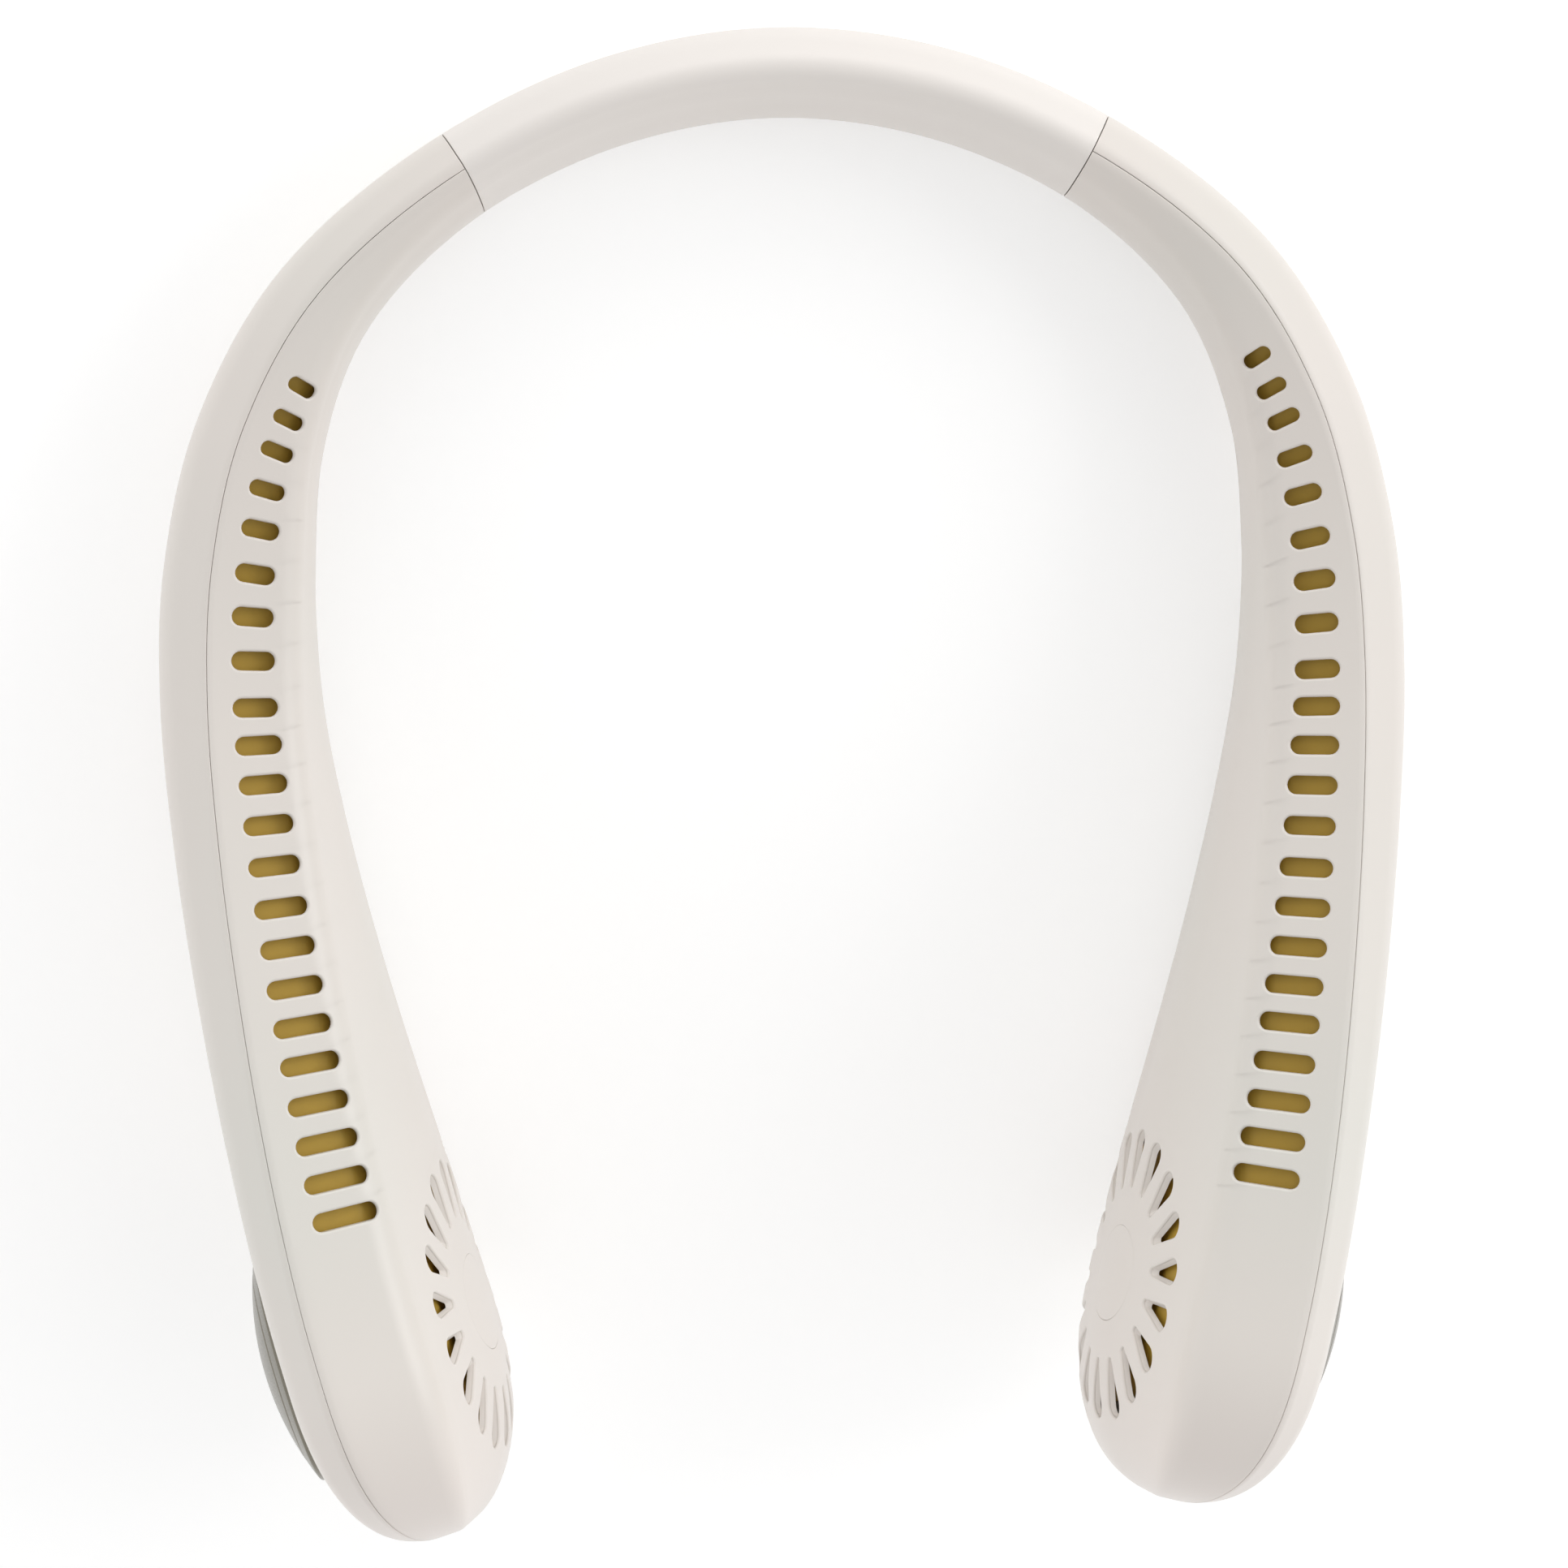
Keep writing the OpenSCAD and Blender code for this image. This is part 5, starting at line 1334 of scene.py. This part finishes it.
# %% Dress the solids
# The fan's housing and wheel take the olive of painted shade, as the duct and the dish do.
KEPT = {
    "neck_plug": "grey_plastic", "fan_housing": "olive_plastic",
    "shell_screws": "zinc_steel", "motor_shaft": "zinc_steel", "rotor_bell": "spring_steel",
    "fan_wheel": "olive_plastic", "motor_base": "white_plastic", "ring_magnet": "magnet_grey",
    "motor_bush": "bush_brass", "stator": "stator_steel", "motor_coils": "coil_copper",
    "battery": "cell_wrap", "battery_pad": "foam_grey", "control_board": "board_green",
    "tact_switch": "grey_plastic", "charging_port": "zinc_steel"}
dressed = 0
for name, solid in nodes.items():
    part = name.replace("right_", "").replace("left_", "")
    if part in KEPT:
        for material_slot in solid.material_slots:
            material_slot.material = FINISH[KEPT[part]]
        dressed += 1
print("solids that keep their shape:", dressed)

# %% [markdown]
# ## Rings on the disc
# The spun disc's finish needs each point's distance to the disc's axis. An attribute holds it,
# so the rings stay on the metal wherever the arm goes.

# %% Rings on the disc
for side, mirror in SIDES.items():
    mesh = pieces[side, "metal_disc"].data
    place = np.array([v.co for v in mesh.vertices])
    middle, way = (v[0] * [mirror, 1, 1] for v in (laid(DISC[0][None]), tipped(DISC[1][2:])))
    away = place - middle - ((place - middle) @ way)[:, None] * way
    mesh.attributes.new("from_axis", "FLOAT", "POINT").data.foreach_set(
        "value", np.linalg.norm(away, axis=1))
    print(side, "disc's radius:", round(float(np.linalg.norm(away, axis=1).max()), 4))

# %% [markdown]
# ## Putting the pieces on their bodies
# Each new piece of the arms stands for a solid and moves with that solid's body, but for the dish,
# which only rides on the arm. The halves of the band get their finish and hide their solids, but
# no body: the two places between which the band would turn little by little, as rubber does, are
# worked out, and nothing uses them.

# %% Bodies
BEND_STATIONS = np.array([0.25, 1.55])
ARM_PIECES = {
    "inner_half": ("cream_plastic", "inner_shell"), "hub_plug": ("cream_plastic", "hub_cap"),
    "outer_half": ("cream_plastic", "outer_shell"), "metal_disc": ("silver_disc", "outer_disc"),
    "duct_channel": ("olive_plastic", "air_duct"), "hub_cover": ("olive_plastic", None)}
BAND_PIECES = {
    "sleeve_half": ("soft_cream", "neck_sleeve"), "spring_half": ("spring_steel", "band_spring"),
    "loom_half": ("wire_red", "wire_loom")}


def put(piece, finish_name, node, body=None):
    """Gives a piece its finish, its solid if it stands for one, and its body if it has one."""
    piece.data.materials.append(FINISH[finish_name])
    if node:
        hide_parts(node)
    if body:
        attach(piece, body)


for side, mirror in SIDES.items():
    arm = side + "_arm"
    for name, (finish_name, solid) in ARM_PIECES.items():
        put(pieces[side, name], finish_name, f"{side}_{solid}" if solid else None, arm)
    zone = laid(placed(BEND_STATIONS, np.tile(HOLLOW, (2, 1)))) * [mirror, 1, 1]
    for name, (finish_name, node) in BAND_PIECES.items():
        put(pieces[side, name], finish_name, node)
        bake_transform(pieces[side, name])
put(power, "button_grey", "power_button", "power_button")
put(lamp, "light_lens", "charge_light", "right_arm")
print("pieces made:", len(pieces) + 2)

# %% [markdown]
# ## The floor
# A white sheet lies under the fan. It turns white towards the camera by itself, so the lamps
# need be no stronger than the plastic wants. The glow is seen by the camera, by a mirror and
# through glass, and lights nothing.

# %% Floor
FLOOR_HALF, FLOOR_Z = 3, -2e-4


def seen_by_eye(tree):
    """1 for a ray from the camera, a mirror or glass, and 0 for light that only bounces."""
    rays = add_node(tree, "LightPath")
    seen = add_node(tree, "Math", [(0, rays["Is Camera Ray"]), (1, rays["Is Glossy Ray"])],
                    operation="MAXIMUM")[0]
    return add_node(tree, "Math", [(0, seen), (1, rays["Is Transmission Ray"])],
                    operation="MAXIMUM")[0]


def plain_white(name, colour, glow):
    """A matt sheet that also glows where the camera, a mirror or glass sees it."""
    material = bpy.data.materials.new(name)
    material.use_nodes = True
    tree = material.node_tree
    shader = tree.nodes["Principled BSDF"]
    strength = add_node(tree, "Math", [(0, seen_by_eye(tree))], [(1, glow)],
                        operation="MULTIPLY")[0]
    shader.inputs["Base Color"].default_value = colour
    shader.inputs["Roughness"].default_value = 0.9
    shader.inputs["Specular IOR Level"].default_value = 0.1
    shader.inputs["Emission Color"].default_value = (1, 1, 1, 1)
    tree.links.new(strength, shader.inputs["Emission Strength"])
    return material


floor_mesh = bpy.data.meshes.new("floor")
floor_corners = [(x * FLOOR_HALF, y * FLOOR_HALF, FLOOR_Z)
                 for x, y in ((-1, -1), (1, -1), (1, 1), (-1, 1))]
floor_mesh.from_pydata(floor_corners, [], [(0, 1, 2, 3)])
floor = bpy.data.objects.new("floor", floor_mesh)
bpy.context.scene.collection.objects.link(floor)
floor_mesh.materials.append(plain_white("white sheet", linear(246, 246, 246), 0.3))
print("floor:", 2 * FLOOR_HALF, "m wide")

# %% [markdown]
# ## The light
# The walls of the studio are bright and its ceiling is not, so that the sides of the fan stand
# out from its face, and three soft lamps lift the right and the upper sides. Large lamps far
# away give the even light of a photograph for a catalogue.

# %% Light
AT_HORIZON, AT_TOP, AIM = 1.86, 0.2, (0, 0, 0.03)
world = bpy.data.worlds.new("studio")
bpy.context.scene.world = world
world.use_nodes = True
tree = world.node_tree
up = add_node(tree, "SeparateXYZ", [(0, add_node(tree, "TexCoord")["Generated"])])["Z"]
sky = add_node(tree, "MapRange", [(0, up)], [(1, 0.0), (2, 1.0), (3, AT_HORIZON), (4, AT_TOP)])[0]
white = add_node(tree, "Mix", [(0, seen_by_eye(tree)), (2, sky)], [(3, 1.0)], data_type="FLOAT")[0]
tree.links.new(white, tree.nodes["Background"].inputs["Strength"])
tree.nodes["Background"].inputs["Color"].default_value = (1, 1, 1, 1)


def soft_lamp(name, place, watts, size=0.7):
    """A square lamp that faces the middle of the fan."""
    light = bpy.data.lights.new(name, "AREA")
    light.energy, light.size = watts, size
    holder = bpy.data.objects.new(name, light)
    holder.location = place
    look = Vector(AIM) - Vector(place)
    holder.rotation_euler = look.to_track_quat("-Z", "Y").to_euler()
    bpy.context.scene.collection.objects.link(holder)


soft_lamp("right lamp", (1.25, 0.45, 0.62), 3.7)
soft_lamp("upper right lamp", (0.8, 1.0, 0.75), 0.8)
soft_lamp("upper lamp", (0.0, 1.4, 0.45), 2.3)
print("lamps:", len(bpy.data.lights))

# %% [markdown]
# ## The camera
# The photograph looks straight down on the worn fan from 600 mm, a little from the left, and the
# picture is turned by two degrees. So the camera is set up in the worn frame and tipped with the
# fan. Its focal length is 5015 of the photograph's pixels, which is 2.6 times its width of 1932.

# %% Camera
EYE = np.array([[-38.9, 0, 600]])
YAW, ROLL = np.radians(3.557), np.radians(2.17)
SENSOR, FOCAL_WIDTHS = 36, 5015 / 1932
look = np.array([np.sin(YAW), 0, -np.cos(YAW)])
right_hand, up_hand = np.array([np.cos(YAW), 0, np.sin(YAW)]), np.array([0, 1.0, 0])
across = right_hand * np.cos(ROLL) - up_hand * np.sin(ROLL)
upward = right_hand * np.sin(ROLL) + up_hand * np.cos(ROLL)
matrix = np.eye(4)
matrix[:3, :3], matrix[:3, 3] = tipped(np.array([across, upward, -look])).T, laid(EYE)[0]
camera_data = bpy.data.cameras.new("camera")
camera_data.sensor_width, camera_data.lens = SENSOR, FOCAL_WIDTHS * SENSOR
camera_data.clip_start = 0.01
camera = bpy.data.objects.new("camera", camera_data)
camera.matrix_world = Matrix(matrix.tolist())
bpy.context.scene.collection.objects.link(camera)
bpy.context.scene.camera = camera
bpy.context.scene.view_settings.view_transform = "Standard"
print("camera at", np.round(matrix[:3, 3], 3))
